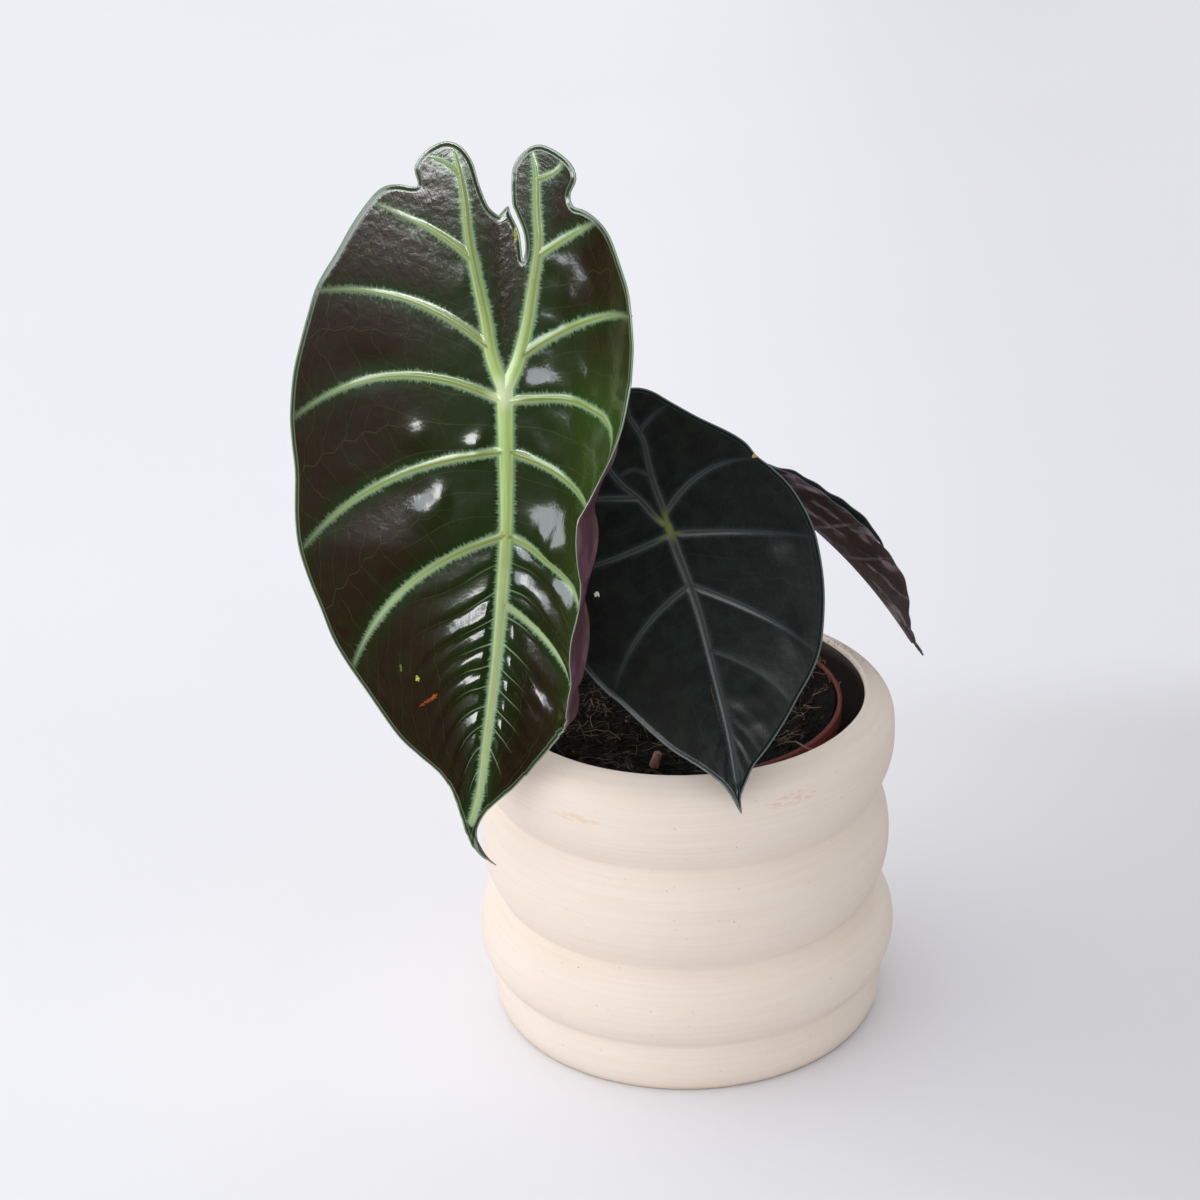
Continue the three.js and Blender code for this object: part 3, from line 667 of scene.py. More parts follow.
def fibre_finish():
    fibre = Finish("root_fibre")
    spot = fibre.place()
    tone = fibre.clouds(spot, 0.06, 2)
    grain = fibre.clouds(spot, 1.2, 4)
    base = fibre.mix(fibre.rise(tone, 0.38, 0.62), colour(58, 50, 36), colour(128, 112, 86))
    at_rim = fibre.rise(fibre.part(spot, "X"), 34, 44)
    base = fibre.mix(at_rim * 0.8, base, colour(150, 104, 86))
    return fibre.surface(base_color=base, roughness=0.7 + grain * 0.2,
                         normal=fibre.bump(grain, 0.0002, 0.6))


fibres = [run for run in (loose_fibre() for _ in range(LOOSE_FIBRES)) if len(run) > 2]
fibres += [rim_fibre() for _ in range(RIM_FIBRES)] + [looping_root()]
finish_piece("root_fibres", wire(fibres), [fibre_finish()], [])

# %% [markdown]
# ## How a leaf is drawn
# A leaf is drawn flat, as pressed in a book, and then bent. On the flat leaf u runs across and v
# runs along it from the junction, where the stalk meets the blade; v is up towards the two lobes.
# The outline goes from the notch round the left side to the tip and back. The midrib and the two
# basal ribs start at the junction, and every spoke runs from a rib to a stop on the outline.
# Spokes with a width are veins. The same numbers shape the solid leaves, so these finer blades lie
# where those do.

# %% Leaf drawings
FRONT = {
    "at": (-54.9, -60, 260.4), "up": (0, 0.052, 0.999), "face": (0, -0.999, 0.052),
    "outline": [
        (0, 57), (-3, 60), (-5.5, 66.5), (-7.5, 74), (-11, 79), (-16, 80.5), (-22, 77.5),
        (-25.6, 72.5), (-25, 66.6), (-31, 67), (-36, 66), (-40.5, 62), (-46.5, 54), (-52, 45),
        (-57, 37.5), (-60, 32), (-62.5, 25), (-65.5, 16), (-69, 4), (-71, -10), (-71, -20),
        (-70.6, -30), (-71.6, -44), (-71.2, -56), (-68.5, -67), (-64.7, -78), (-61.5, -88),
        (-57, -97), (-50.5, -107.5), (-41, -123), (-34, -130.5), (-27.8, -136.5), (-23.7, -143),
        (-21.2, -152), (-19.3, -160), (-17, -166), (-13.5, -170), (-9.5, -172.5), (-14.2, -168),
        (-16, -163), (-14.7, -156.5), (-11, -150.5), (-5, -144.8), (1, -138.5), (6, -132.5),
        (13.2, -123.5), (19, -117), (31, -110.5), (40.5, -103.5), (47, -94.5), (50.5, -83),
        (53, -73), (53.5, -64), (55.3, -56), (59, -47), (61, -36), (60.5, -27), (60, -18),
        (58.7, -9), (56, 1), (55, 11), (56, 22), (55, 33), (52.8, 40), (47.4, 46.5), (40.8, 54.8),
        (35.5, 58.5), (29.5, 60.8), (25, 61.5), (24, 65), (26.3, 70), (24.7, 74.5), (18.5, 78.4),
        (12.6, 79.5), (7.5, 76.2), (4.8, 71.4), (4.4, 61.5), (5.6, 57.5), (7.6, 52), (8.1, 47),
        (7.2, 43), (6.8, 46.8), (6.2, 52), (3.8, 57.5), (3, 60)],
    "ribs": {
        "mid": [(0, 0), (-0.3, -15), (-0.6, -30), (-1.4, -48), (-3.6, -70), (-5.8, -90),
                (-8.3, -108), (-10.8, -124), (-13.6, -142), (-17.2, -156)],
        "left": [(0, 0), (-3.8, 12), (-5.2, 24), (-7.6, 38), (-9.5, 50), (-10.3, 62), (-11.4, 70)],
        "right": [(0, 0), (4.8, 10.6), (8.4, 24), (10.6, 36), (12.6, 48), (12.4, 60), (12.6, 69)]},
    "spokes": [
        ("left", 0, 0, (0, 27), 0), ("left", 0.2, 0.7, (-4.2, 37), 0),
        ("left", 0.57, 1.6, (-6.8, 51), 0), ("left", 0.86, 3, (-8.8, 67), 0),
        ("left", 1, 4.6, (-12.3, 75), 1), ("left", 1, 6.3, (-16.6, 74.6), 1),
        ("left", 0.86, 8, (-17.5, 65), 0), ("left", 0.57, 11, (-21, 53), 1.7),
        ("left", 0.2, 15, (-30, 30.6), 1.8), ("mid", 0, 17, (-34, 19), 0),
        ("mid", 0.035, 19.2, (-36.5, 5), 1.9), ("mid", 0.15, 23.2, (-40, -31), 1.8),
        ("mid", 0.34, 27.3, (-34.5, -67.5), 1.7), ("mid", 0.46, 28.8, (-28, -90), 0),
        ("mid", 0.66, 30.8, (-21.5, -117), 0), ("mid", 0.82, 33.2, (-16.5, -137), 0),
        ("mid", 1, 37, (-16.4, -164), 0), ("mid", 0.82, 41, (-10.5, -138), 0),
        ("mid", 0.66, 44, (0.5, -117), 0), ("mid", 0.46, 47.3, (13, -87), 1.3),
        ("mid", 0.34, 49.2, (26, -65), 1.6), ("mid", 0.15, 53.6, (34, -33.5), 1.7),
        ("mid", 0.035, 57, (38, -2.5), 1.8), ("mid", 0, 59.6, (33, 10), 0),
        ("right", 0.18, 62, (30, 26), 1.8), ("right", 0.62, 66, (25, 53), 1.5),
        ("right", 0.86, 69, (18.5, 63.5), 0), ("right", 1, 71.5, (19.5, 72.2), 1),
        ("right", 1, 73.3, (12, 75), 1), ("right", 0.86, 75, (8.4, 67), 0),
        ("right", 0.62, 77.5, (8.6, 53.5), 0), ("right", 0.18, 80, (7.4, 29), 0)],
    "rolls": [(-175, 50), (-150, 39), (-135, 29), (-122, 20), (-112, 16), (-104, 19.5),
              (-96, 21.5), (-88, 23), (-80, 23.5), (-70, 24.5), (-60, 26), (-50, 27.5), (-28, 28),
              (-15, 32), (0, 38), (12, 42), (24, 43), (62, 42)],
    "left_roll": -250, "arch": 0.0003, "thickness": 1.1, "quilt": 2.8, "quilt_room": 20,
    "under_rib": 0.9, "rib_widths": (2.7, 0.7), "basal_widths": (2.3, 0.8), "slim": 0.68,
    "pucker": 2.5, "pucker_step": 7.7, "pucker_reach": 24, "ruffle": 0, "fade": 0.6,
    "cross_veins": [],
    "crinkle": 0.55,
    "dents": [((-27, -41.5), (3.8, 5), 1.1), ((-22.5, -36.5), (3.4, 5.5), 1.1),
              ((15.5, -52), (9, 9), 3.4), ((-11, -19), (4, 4), 1.0), ((-29, -15), (4, 4.5), 0.95),
              ((12, 2), (5, 5), 1.0), ((32, 2), (5, 6), 1.3), ((25, 32), (5, 9), 1.2),
              ((-44, 8), (8, 6), -0.4), ((-50, -30), (9, 8), 0.4),
              ((-48, -75), (8, 9), 0.5)]}

MIDDLE = {
    "at": (-4.1, -37, 202.3), "up": (-0.208, 0.489, 0.847), "face": (0, -0.866, 0.5),
    "outline": [
        (-12.6, 27.5), (-14.6, 31), (-16.4, 36), (-19, 41), (-22.5, 43.5), (-26.5, 42),
        (-30.5, 36.8), (-35.5, 29), (-40.5, 19.5), (-44.5, 9), (-46.6, -3), (-46, -13),
        (-44, -22), (-41, -31), (-37.5, -40), (-33.5, -47.5), (-28.5, -54), (-24.5, -60),
        (-20, -66.5), (-15, -73), (-8, -79.8), (-2, -86.8), (0.4, -92), (2.4, -98), (3.6, -92.5),
        (6.6, -88), (10, -83.6), (15.6, -79), (23, -72), (29.4, -64.8), (35.6, -58),
        (40.3, -50.6), (43.8, -40.5), (46, -31), (47, -21.5), (47, -12.5), (45.4, -4.3),
        (42.4, 4), (38, 11), (34, 16), (31.4, 21.2), (26.6, 26.2), (18, 33.2), (10.6, 40),
        (4.8, 45.4), (-0.6, 47.8), (-6, 47.4), (-9.6, 44), (-10.6, 39), (-11, 33)],
    "ribs": {
        "mid": [(0, 0), (1.2, -10), (2.6, -20), (3.7, -31), (4, -43), (4.2, -55), (4.3, -67),
                (4, -77), (3.2, -87)],
        "left": [(0, 0), (-3.5, 4), (-7.1, 10.5), (-11.8, 16.7), (-15.8, 24.5), (-19.5, 33)],
        "right": [(0, 0), (-0.4, 7), (-1.4, 15), (-1.6, 23), (-1.6, 30), (-4.4, 38.5)]},
    "spokes": [
        ("left", 0, 0, (-5.5, 14), 0), ("left", 0.42, 1, (-11.6, 21.5), 0),
        ("left", 1, 3.3, (-19.9, 37.3), 0.7), ("left", 1, 5.6, (-24.3, 36.6), 0),
        ("left", 0.42, 8.2, (-24.5, 14.5), 1), ("mid", 0, 9.4, (-23, 3), 0),
        ("mid", 0.045, 10.4, (-25, -7.4), 1), ("mid", 0.26, 15.6, (-17.5, -33.6), 1),
        ("mid", 0.5, 18, (-10, -53.5), 0), ("mid", 0.75, 20, (-2.5, -73.5), 0),
        ("mid", 1, 23, (2.8, -92.5), 0), ("mid", 0.75, 26.5, (8.5, -73.5), 0),
        ("mid", 0.5, 28.6, (18, -53.5), 0.6), ("mid", 0.26, 30.7, (24.5, -36.6), 1),
        ("mid", 0.045, 34.7, (25, -7.9), 1), ("mid", 0, 36.7, (25.5, 3.5), 0),
        ("right", 0.12, 38.7, (16.6, 15), 1), ("right", 0.86, 43, (3.7, 37.2), 0.7),
        ("right", 1, 45.4, (-4, 43.3), 0.7), ("right", 0.86, 48, (-6.4, 35.4), 0),
        ("right", 0.12, 49.3, (-3.8, 17.5), 0)],
    "rolls": [(-100, 250), (60, 250)],
    "left_roll": 250, "arch": 0.0005, "thickness": 1.0, "quilt": 0.35, "quilt_room": 15,
    "under_rib": 0.7, "rib_widths": (1.6, 0.5), "basal_widths": (1.2, 0.6), "slim": 0.95,
    "pucker": 0.2, "pucker_step": 6, "pucker_reach": 12, "ruffle": 0, "fade": 0.4,
    "cross_veins": [([(-12.5, 19.3), (-7, 20.8), (-2, 17.6)], 0.4, 0.6)],
    "crinkle": 0, "dents": [((15.5, -70), (4, 3), 0.35), ((37, -13), (5, 5), 0.5),
                            ((31.5, -45), (4, 6), 0.5), ((11.5, -61), (5, 3), 0.35)]}

BACK = {
    "at": (45.3, 33.9, 172.3), "up": (-0.735, 0.016, 0.678), "face": (0.655, 0.267, 0.707),
    "outline": [
        (-2, 16), (-4, 22), (-7, 29.5), (-12.5, 35.5), (-20.5, 34.8), (-25.6, 28.8), (-27.4, 22),
        (-28.3, 15), (-28.6, 7.8), (-28.8, 0.5), (-29.1, -7.3), (-28.8, -15.6), (-28.2, -22),
        (-27.5, -27), (-26.3, -32), (-24, -37), (-19.6, -42.5), (-12.3, -49.4), (-5, -56.8),
        (-0.6, -62), (1, -66.5), (6, -62), (12.4, -57.5), (18.8, -53), (24.5, -46), (28.8, -38.5),
        (31.3, -30), (31.7, -22), (30.5, -13.5), (28.8, -6), (27.6, 2), (25.9, 9.5), (22, 17),
        (18, 24.5), (13, 30.5), (8, 33), (4.8, 29.5), (2.8, 22)],
    "ribs": {
        "mid": [(0, 0), (0.2, -12), (0.4, -26), (0.6, -40), (0.8, -52), (0.9, -60)],
        "left": [(0, 0), (-3.4, 6), (-7.6, 14), (-11.6, 22), (-14.6, 28)],
        "right": [(0, 0), (3, 6), (6, 14), (8, 22), (9, 27.5)]},
    "spokes": [
        ("left", 0, 0, (0, 8), 0), ("left", 0.45, 1, (-5.4, 18.5), 0),
        ("left", 1, 3.5, (-15.6, 31.6), 0.6), ("left", 0.45, 6.2, (-17.6, 17.5), 0.8),
        ("left", 0, 8.8, (-14.5, 5), 0), ("mid", 0.06, 10, (-16, -3), 0.9),
        ("mid", 0.28, 12.6, (-15.6, -20), 0.9), ("mid", 0.55, 15.6, (-12.6, -36), 0.7),
        ("mid", 0.8, 17.4, (-6.5, -51), 0.5), ("mid", 1, 20, (0.3, -63.5), 0),
        ("mid", 0.8, 22.3, (6.5, -53), 0.5), ("mid", 0.55, 24, (12, -39), 0.7),
        ("mid", 0.28, 26.4, (15.4, -20), 0.9), ("mid", 0.06, 28.6, (15.4, -4), 0.9),
        ("right", 0, 30.3, (14, 5), 0), ("right", 0.45, 32.6, (13.6, 18), 0.8),
        ("right", 1, 35.2, (8.7, 30), 0.6), ("right", 0.45, 37, (4, 16), 0)],
    "rolls": [(-80, 34), (-30, 31), (40, 34)],
    "left_roll": 35, "arch": 0.0026, "thickness": 1.0, "quilt": 2.0, "quilt_room": 12,
    "under_rib": 0.7, "rib_widths": (1.4, 0.45), "basal_widths": (1.2, 0.5), "slim": 0.8,
    "pucker": 0.35, "pucker_step": 6, "pucker_reach": 14, "ruffle": 0.35, "fade": 0.6,
    "cross_veins": [],
    "crinkle": 0.3, "dents": []}

# %% [markdown]
# ## From the flat leaf to the bent one
# Lines from the ribs to the outline cover the blade like the ribs of a fan, and points along each
# line make rings. So the blade is a grid, and its seams fall on the veins. Each grid point knows
# its place on the flat leaf, and the bend is then a formula: both halves roll round the midrib and
# the whole blade arches along it.

# %% Lines and rings of a leaf
LINES_PER_SPOKE = 20
RINGS = 60
LINE_CROWDING = 0.5
RING_CROWDING = 1.12
RIB_SAMPLES = 40


def smooth_curve(points, shares):
    """Places on a smooth curve through the points, at shares from 0 to 1."""
    knots = np.array(points, float)
    last = len(knots) - 1
    along = np.clip(np.asarray(shares, float), 0, 1) * last
    index = np.minimum(along.astype(int), last)
    weight = (along - index)[:, None]
    before = knots[np.maximum(index - 1, 0)]
    start = knots[index]
    end = knots[np.minimum(index + 1, last)]
    after = knots[np.minimum(index + 2, last)]
    pull_out = (end - before) / 2
    pull_in = (after - start) / 2
    return ((2 * start - 2 * end + pull_out + pull_in) * weight ** 3
            + (3 * end - 3 * start - 2 * pull_out - pull_in) * weight ** 2
            + pull_out * weight + start)


def one_place(points, share):
    return smooth_curve(points, [share])[0]


def mixed(a, b, share):
    return a + (b - a) * share


def closed_outline(leaf):
    return leaf["outline"] + leaf["outline"][:1]


def rib_length(leaf, rib):
    run = smooth_curve(leaf["ribs"][rib], np.linspace(0, 1, RIB_SAMPLES))
    return np.hypot(*np.diff(run, axis=0).T).sum()


def fan_lines(leaf):
    """The lines of the fan, as arrays: where each starts, turns and ends, and its bay."""
    loop = closed_outline(leaf)
    stops = len(leaf["outline"])
    spokes = []
    for rib, share, stop, (u, v), width in leaf["spokes"]:
        root = one_place(leaf["ribs"][rib], share)
        rim = one_place(loop, stop / stops)
        turn = np.array((u, v)) * 2 - (root + rim) / 2
        spokes.append({"rib": rib, "share": share, "stop": stop, "root": root, "rim": rim,
                       "turn": turn, "width": width})
    count = len(spokes)
    veins = [i for i, spoke in enumerate(spokes) if spoke["width"] > 0]
    lines = []
    for i, start in enumerate(spokes):
        end = spokes[i + 1] if i + 1 < count else {**spokes[0], "stop": stops, "rib": "right"}
        rib = start["rib"] if end["share"] == 0 else end["rib"]
        before = max([k for k in veins if k <= i], default=veins[-1] - count)
        after = min([k for k in veins if k > i], default=veins[0] + count)
        for step in range(LINES_PER_SPOKE):
            even = step / LINES_PER_SPOKE
            crowded = (1 - math.cos(math.pi * even)) / 2
            share = mixed(even, crowded, LINE_CROWDING)
            up_rib = mixed(start["share"], end["share"], share)
            lines.append({
                "root": one_place(leaf["ribs"][rib], up_rib),
                "rim": one_place(loop, mixed(start["stop"], end["stop"], share) / stops),
                "turn": mixed(start["turn"], end["turn"], share),
                "along_rib": up_rib * rib_length(leaf, rib),
                "bay": (i + share - before) / (after - before)})
    return spokes, lines


def on_line(line, share):
    """A place on a line of the fan, which leaves its rib, leans to its turn and ends on the rim."""
    share = np.asarray(share, float)[..., None]
    return ((1 - share) ** 2 * line["root"] + 2 * share * (1 - share) * line["turn"]
            + share ** 2 * line["rim"])


# %% [markdown]
# ## Veins as distances
# A vein could be a tube laid on the leaf, but a real one is a swelling of the blade itself. So each
# point is told how far it lies from the nearest vein's edge, how wide that vein is there and how
# far along it. The same numbers raise the ridge, colour it and bleach the green beside it.

# %% Veins as distances
VEIN_SAMPLES = 36
SHORTEST_STEP = 1e-6
VEIN_TAPER = 0.84
VEIN_LENGTH = 0.97
VEIN_FADING = 0.75
VEIN_RUN_STEP = 60
FAR_AWAY = 99.0
RIM_SAMPLES = 4


def vein_runs(leaf, spokes):
    """Every vein as a run of points, with its half-width and its strength at each."""
    shares = np.linspace(0, 1, VEIN_SAMPLES)
    runs = []
    for rib in ("mid", "left", "right"):
        widths = leaf["rib_widths"] if rib == "mid" else leaf["basal_widths"]
        runs.append((smooth_curve(leaf["ribs"][rib], shares), mixed(*widths, shares ** 0.8),
                     np.ones(len(shares))))
    for spoke in spokes:
        if spoke["width"] > 0:
            half = leaf["slim"] * spoke["width"] * (1 - VEIN_TAPER * shares ** 1.2)
            power = min(1.0, spoke["width"]) * (1 - VEIN_FADING * ramp(shares, leaf["fade"], 1))
            runs.append((on_line(spoke, shares * VEIN_LENGTH), half, power))
    for points, half, strength in leaf["cross_veins"]:
        runs.append((smooth_curve(points, shares), half + 0 * shares, strength + 0 * shares))
    return runs


def nearest_on_run(spots, run):
    """For each spot: distance to the run, share along it, and run length up to there."""
    start, end = run[:-1], run[1:]
    step = end - start
    length = np.maximum(np.hypot(step[:, 0], step[:, 1]), SHORTEST_STEP)
    reach = np.concatenate([[0], np.cumsum(length)])
    rel = spots[:, None, :] - start[None]
    share = np.clip((rel * step).sum(2) / length ** 2, 0, 1)
    gap = rel - share[..., None] * step
    distance = np.hypot(gap[..., 0], gap[..., 1])
    best = distance.argmin(1)
    rows = np.arange(len(spots))
    part = share[rows, best]
    return distance[rows, best], (best + part) / len(length), reach[best] + part * length[best]


def vein_fields(leaf, spokes, spots):
    """Distance beyond the nearest vein's edge, its half-width, its run and its strength."""
    gap = np.full(len(spots), FAR_AWAY)
    half = np.ones(len(spots))
    run_length = np.zeros(len(spots))
    strength = np.zeros(len(spots))
    for number, (run, halves, power) in enumerate(vein_runs(leaf, spokes)):
        distance, share, reached = nearest_on_run(spots, run)
        width = np.interp(share, np.linspace(0, 1, len(halves)), halves)
        closer = distance - width < gap
        gap = np.where(closer, distance - width, gap)
        half = np.where(closer, width, half)
        run_length = np.where(closer, reached + number * VEIN_RUN_STEP, run_length)
        strength = np.where(closer, np.interp(share, np.linspace(0, 1, len(power)), power),
                            strength)
    return gap, half, run_length, strength


def rim_distance(leaf, spots):
    """Distance to the outline, and how far round it the nearest point lies."""
    loop = closed_outline(leaf)
    run = smooth_curve(loop, np.linspace(0, 1, len(loop) * RIM_SAMPLES))
    distance, _, reached = nearest_on_run(spots, run)
    return distance, reached


# %% Bend a leaf


def leaf_axes(leaf):
    face = Vector(leaf["face"]).normalized()
    across = Vector(leaf["up"]).cross(face).normalized()
    return np.array(across), np.array(face.cross(across)), np.array(face)


def bent(leaf, spots, height):
    """Takes flat places, raised by height, to the rolled and arched leaf, in metres."""
    u, v = spots[:, 0], spots[:, 1]
    heights, radii = zip(*leaf["rolls"])
    radius = np.where(u > 0, np.interp(v, heights, radii), leaf["left_roll"])
    angle = u / radius
    side = (radius - height) * np.sin(angle)
    out = radius - (radius - height) * np.cos(angle) - leaf["arch"] * v ** 2
    across, along, face = leaf_axes(leaf)
    place = (np.array(leaf["at"]) + side[:, None] * across + v[:, None] * along
             + out[:, None] * face)
    return place * MM


# %% [markdown]
# ## The relief of a blade
# This plant's leaves are quilted: they swell between the veins, pucker beside the midrib low down
# and carry each vein as a ridge. It could be sculpted or pushed out by a displacement. Here each
# swelling is a formula of what a point knows of itself, so that one can be changed without the
# others.

# %% Relief of a leaf
RUFFLE_LENGTH = 11
RUFFLE_REACH = 3.5
VEIN_RISE = 0.45
WIDEST_RISE = 1.8
STEEP_SIDE = 0.22


def pillows(leaf, fields, room):
    """The blade swells between its veins, most in its lower part."""
    bay, share = fields["bay"], fields["share"]
    lower_part = ramp(-fields["flat_v"], 34, 54)
    swell = leaf["quilt"] * np.minimum(1, room / leaf["quilt_room"]) * (0.08 + 0.8 * lower_part)
    pillow = (4 * bay * (1 - bay)) ** 0.8 * (4 * share * (1 - share)) ** 0.7
    return swell * pillow * (1 - between_lobes(fields["flat_u"], fields["flat_v"]))


def small_folds(leaf, fields):
    """Low down, steep folds leave the midrib side by side. They reach further on the right."""
    phase = fields["fold"]
    saw = (phase - np.floor(phase)) * ramp(np.ceil(phase) - phase, 0, STEEP_SIDE)
    low = ramp(-fields["flat_v"], 50, 75)
    right = ramp(fields["flat_u"], -6, 2)
    reach = leaf["pucker_reach"] * (1 + 0.5 * right)
    near = np.exp(-(fields["from_rib"] / reach) ** 2) * ramp(fields["vein_gap"], 0, 3)
    each = 0.95 + 0.2 * np.sin(np.floor(phase) * 2.3 + 0.8 * right)
    return leaf["pucker"] * low * near * saw * each * (1 + 0.4 * right)


def dents(leaf, across, along):
    """Single round swellings or dips, each with its middle, its reach both ways and its rise."""
    total = np.zeros(len(across))
    for (u, v), (reach_u, reach_v), rise in leaf["dents"]:
        total += rise * np.exp(-((across - u) / reach_u) ** 2 - ((along - v) / reach_v) ** 2)
    return total


def leaf_relief(leaf, fields, room):
    """Height of the upper face over the middle of the blade, in millimetres."""
    u, v, gap = fields["flat_u"], fields["flat_v"], fields["vein_gap"]
    ruffle = (leaf["ruffle"] * np.sin(fields["rim_run"] * math.tau / RUFFLE_LENGTH)
              * np.exp(-fields["edge"] / RUFFLE_REACH))
    return (pillows(leaf, fields, room) + small_folds(leaf, fields) + dents(leaf, u, v)
            + leaf["crinkle"] * crinkles(u, v) * ramp(gap, 0, 2) + ruffle
            + ridge(gap, fields["vein_half"], fields["vein_power"]))


def between_lobes(across, along):
    """1 on the narrow strip that runs from the junction up to the notch."""
    return ramp(along, 4, 14) * ramp(-np.abs(across), -12, -8)


def crinkles(across, along):
    """Small irregular dents near the midrib and over the inner right half."""
    rough = np.array([noise.noise(Vector((u / 6, v / 8, 4))) for u, v in zip(across, along)])
    level = ramp(along, -80, -60) * ramp(-along, -60, -40)
    spread = np.exp(-((across - 12) / 22) ** 2)
    return rough * spread * level * (1 - between_lobes(across, along))


def fold_phase(leaf, fields):
    """Counts the small folds that leave the midrib. Each lies a little unevenly."""
    u, v = fields["flat_u"], fields["flat_v"]
    drift = 2.2 * np.sin(u * 0.13 + 1) * np.cos(v * 0.09) + fields["from_rib"] * 0.08
    return (fields["along_rib"] + drift) / leaf["pucker_step"]


def ridge(gap, half, strength):
    """The rounded rise of a vein: full in its middle and gone at its edge."""
    across = np.clip(1 + gap / half, 0, 1)
    return VEIN_RISE * np.minimum(half, WIDEST_RISE) * strength ** 2 * (1 - across ** 2)


# %% [markdown]
# ## The mesh of a blade
# A plain grid comes first. Its columns become the lines of the fan and its rows the rings, and the
# points that meet on a rib are merged. A copy of that upper face, turned over and dropped, is the
# underside. Solidify could give the thickness too, but not a margin that thins out or veins that
# stand out on both sides.

# %% The mesh of a leaf
ROOM_SAMPLES = 25
BODY_THIN_WITHIN = 1.4
THINNEST_BODY = 0.35
UNDER_RELIEF = 0.92
UNDER_RIB_FADE = 4
SAME_LEAF_PLACE = 0.002
LEAF_FIELDS = ("vein_gap", "vein_half", "vein_run", "vein_power", "edge", "bay", "share",
               "fold", "from_rib", "flat_u", "flat_v", "low_x", "low_y", "low_z")


def leaf_fields(leaf, column, share):
    """What every point of the grid knows of itself, from its line's number and its share of it."""
    spokes, lines = fan_lines(leaf)

    def of_lines(values):
        return np.array(values)[column]

    fans = {key: of_lines([line[key] for line in lines]) for key in ("root", "turn", "rim")}
    spots = on_line(fans, share)
    rib_points = np.concatenate([smooth_curve(rib, np.linspace(0, 1, ROOM_SAMPLES))
                                 for rib in leaf["ribs"].values()])
    room = [np.hypot(*(rib_points - on_line(line, 0.5)).T).min() for line in lines]
    fields = dict(zip(("vein_gap", "vein_half", "vein_run", "vein_power"),
                      vein_fields(leaf, spokes, spots)))
    fields["edge"], fields["rim_run"] = rim_distance(leaf, spots)
    for key in ("bay", "along_rib"):
        fields[key] = of_lines([line[key] for line in lines])
    fields["from_rib"] = np.hypot(*(spots - fans["root"]).T)
    fields["share"], fields["flat_u"], fields["flat_v"] = share, spots[:, 0], spots[:, 1]
    fields["fold"] = fold_phase(leaf, fields)
    return spots, fields, of_lines(room)


def leaf_faces(leaf, spots, fields, room):
    """Where the upper and the lower face lie. The veins stand out on both."""
    gap, half, edge = fields["vein_gap"], fields["vein_half"], fields["edge"]
    relief = leaf_relief(leaf, fields, room)
    body = leaf["thickness"] / 2 * np.clip(edge / BODY_THIN_WITHIN, THINNEST_BODY, 1)
    under_rise = leaf["under_rib"] * np.clip(-gap / half + 0.2, 0, 1)
    under_rise *= ramp(edge, 0, UNDER_RIB_FADE)
    vein = ridge(gap, half, fields["vein_power"])
    lower = relief * UNDER_RELIEF - vein - body - under_rise
    return bent(leaf, spots, relief + body), bent(leaf, spots, lower)


def leaf_blade(leaf):
    """The blade: a grid whose columns are the lines of the fan and whose rows are its rings."""
    columns = len(leaf["spokes"]) * LINES_PER_SPOKE
    bm = bmesh.new()
    layers = {key: bm.verts.layers.float.new(key) for key in LEAF_FIELDS}
    bmesh.ops.create_grid(bm, x_segments=columns, y_segments=RINGS, size=0.5)
    verts = list(bm.verts)
    grid = np.array([vert.co[:2] for vert in verts]) + 0.5
    column = np.rint(grid[:, 0] * columns).astype(int) % columns
    share = (np.rint(grid[:, 1] * RINGS) / RINGS) ** RING_CROWDING
    spots, fields, room = leaf_fields(leaf, column, share)
    upper, lower = leaf_faces(leaf, spots, fields, room)
    fields["low_x"], fields["low_y"], fields["low_z"] = lower.T
    for i, vert in enumerate(verts):
        vert.co = upper[i]
        for key, layer in layers.items():
            vert[layer] = fields[key][i]
    bmesh.ops.remove_doubles(bm, verts=bm.verts, dist=SAME_LEAF_PLACE * MM)
    bmesh.ops.recalc_face_normals(bm, faces=bm.faces)
    add_underside(bm, layers)
    return leaf_mesh(bm)


def add_underside(bm, layers):
    """A copy of the upper face drops to the underside, and a strip joins the two at the margin."""
    copied = bmesh.ops.duplicate(bm, geom=bm.verts[:] + bm.edges[:] + bm.faces[:])["geom"]
    faces = [item for item in copied if isinstance(item, bmesh.types.BMFace)]
    verts = [item for item in copied if isinstance(item, bmesh.types.BMVert)]
    for vert in verts:
        vert.co = (vert[layers["low_x"]], vert[layers["low_y"]], vert[layers["low_z"]])
    bmesh.ops.reverse_faces(bm, faces=faces)
    for face in faces:
        face.material_index = 1
    rims = [edge for edge in bm.edges if edge.is_boundary]
    bmesh.ops.bridge_loops(bm, edges=rims)


def leaf_mesh(bm):
    """The blade's mesh. Its place on the flat leaf becomes a map."""
    mesh = mesh_of(bm)
    for key in ("low_x", "low_y", "low_z"):
        mesh.attributes.remove(mesh.attributes[key])
    corners = np.empty(len(mesh.loops), np.int32)
    mesh.loops.foreach_get("vertex_index", corners)

    def values(key):
        found = np.empty(len(mesh.vertices), np.float32)
        mesh.attributes[key].data.foreach_get("value", found)
        return found[corners]

    flat = mesh.uv_layers.new(name="flat")
    places = np.stack([values("flat_u"), values("flat_v")], 1) / MAP_SPAN
    flat.data.foreach_set("uv", places.ravel())
    for key in ("flat_u", "flat_v"):
        mesh.attributes.remove(mesh.attributes[key])
    return mesh


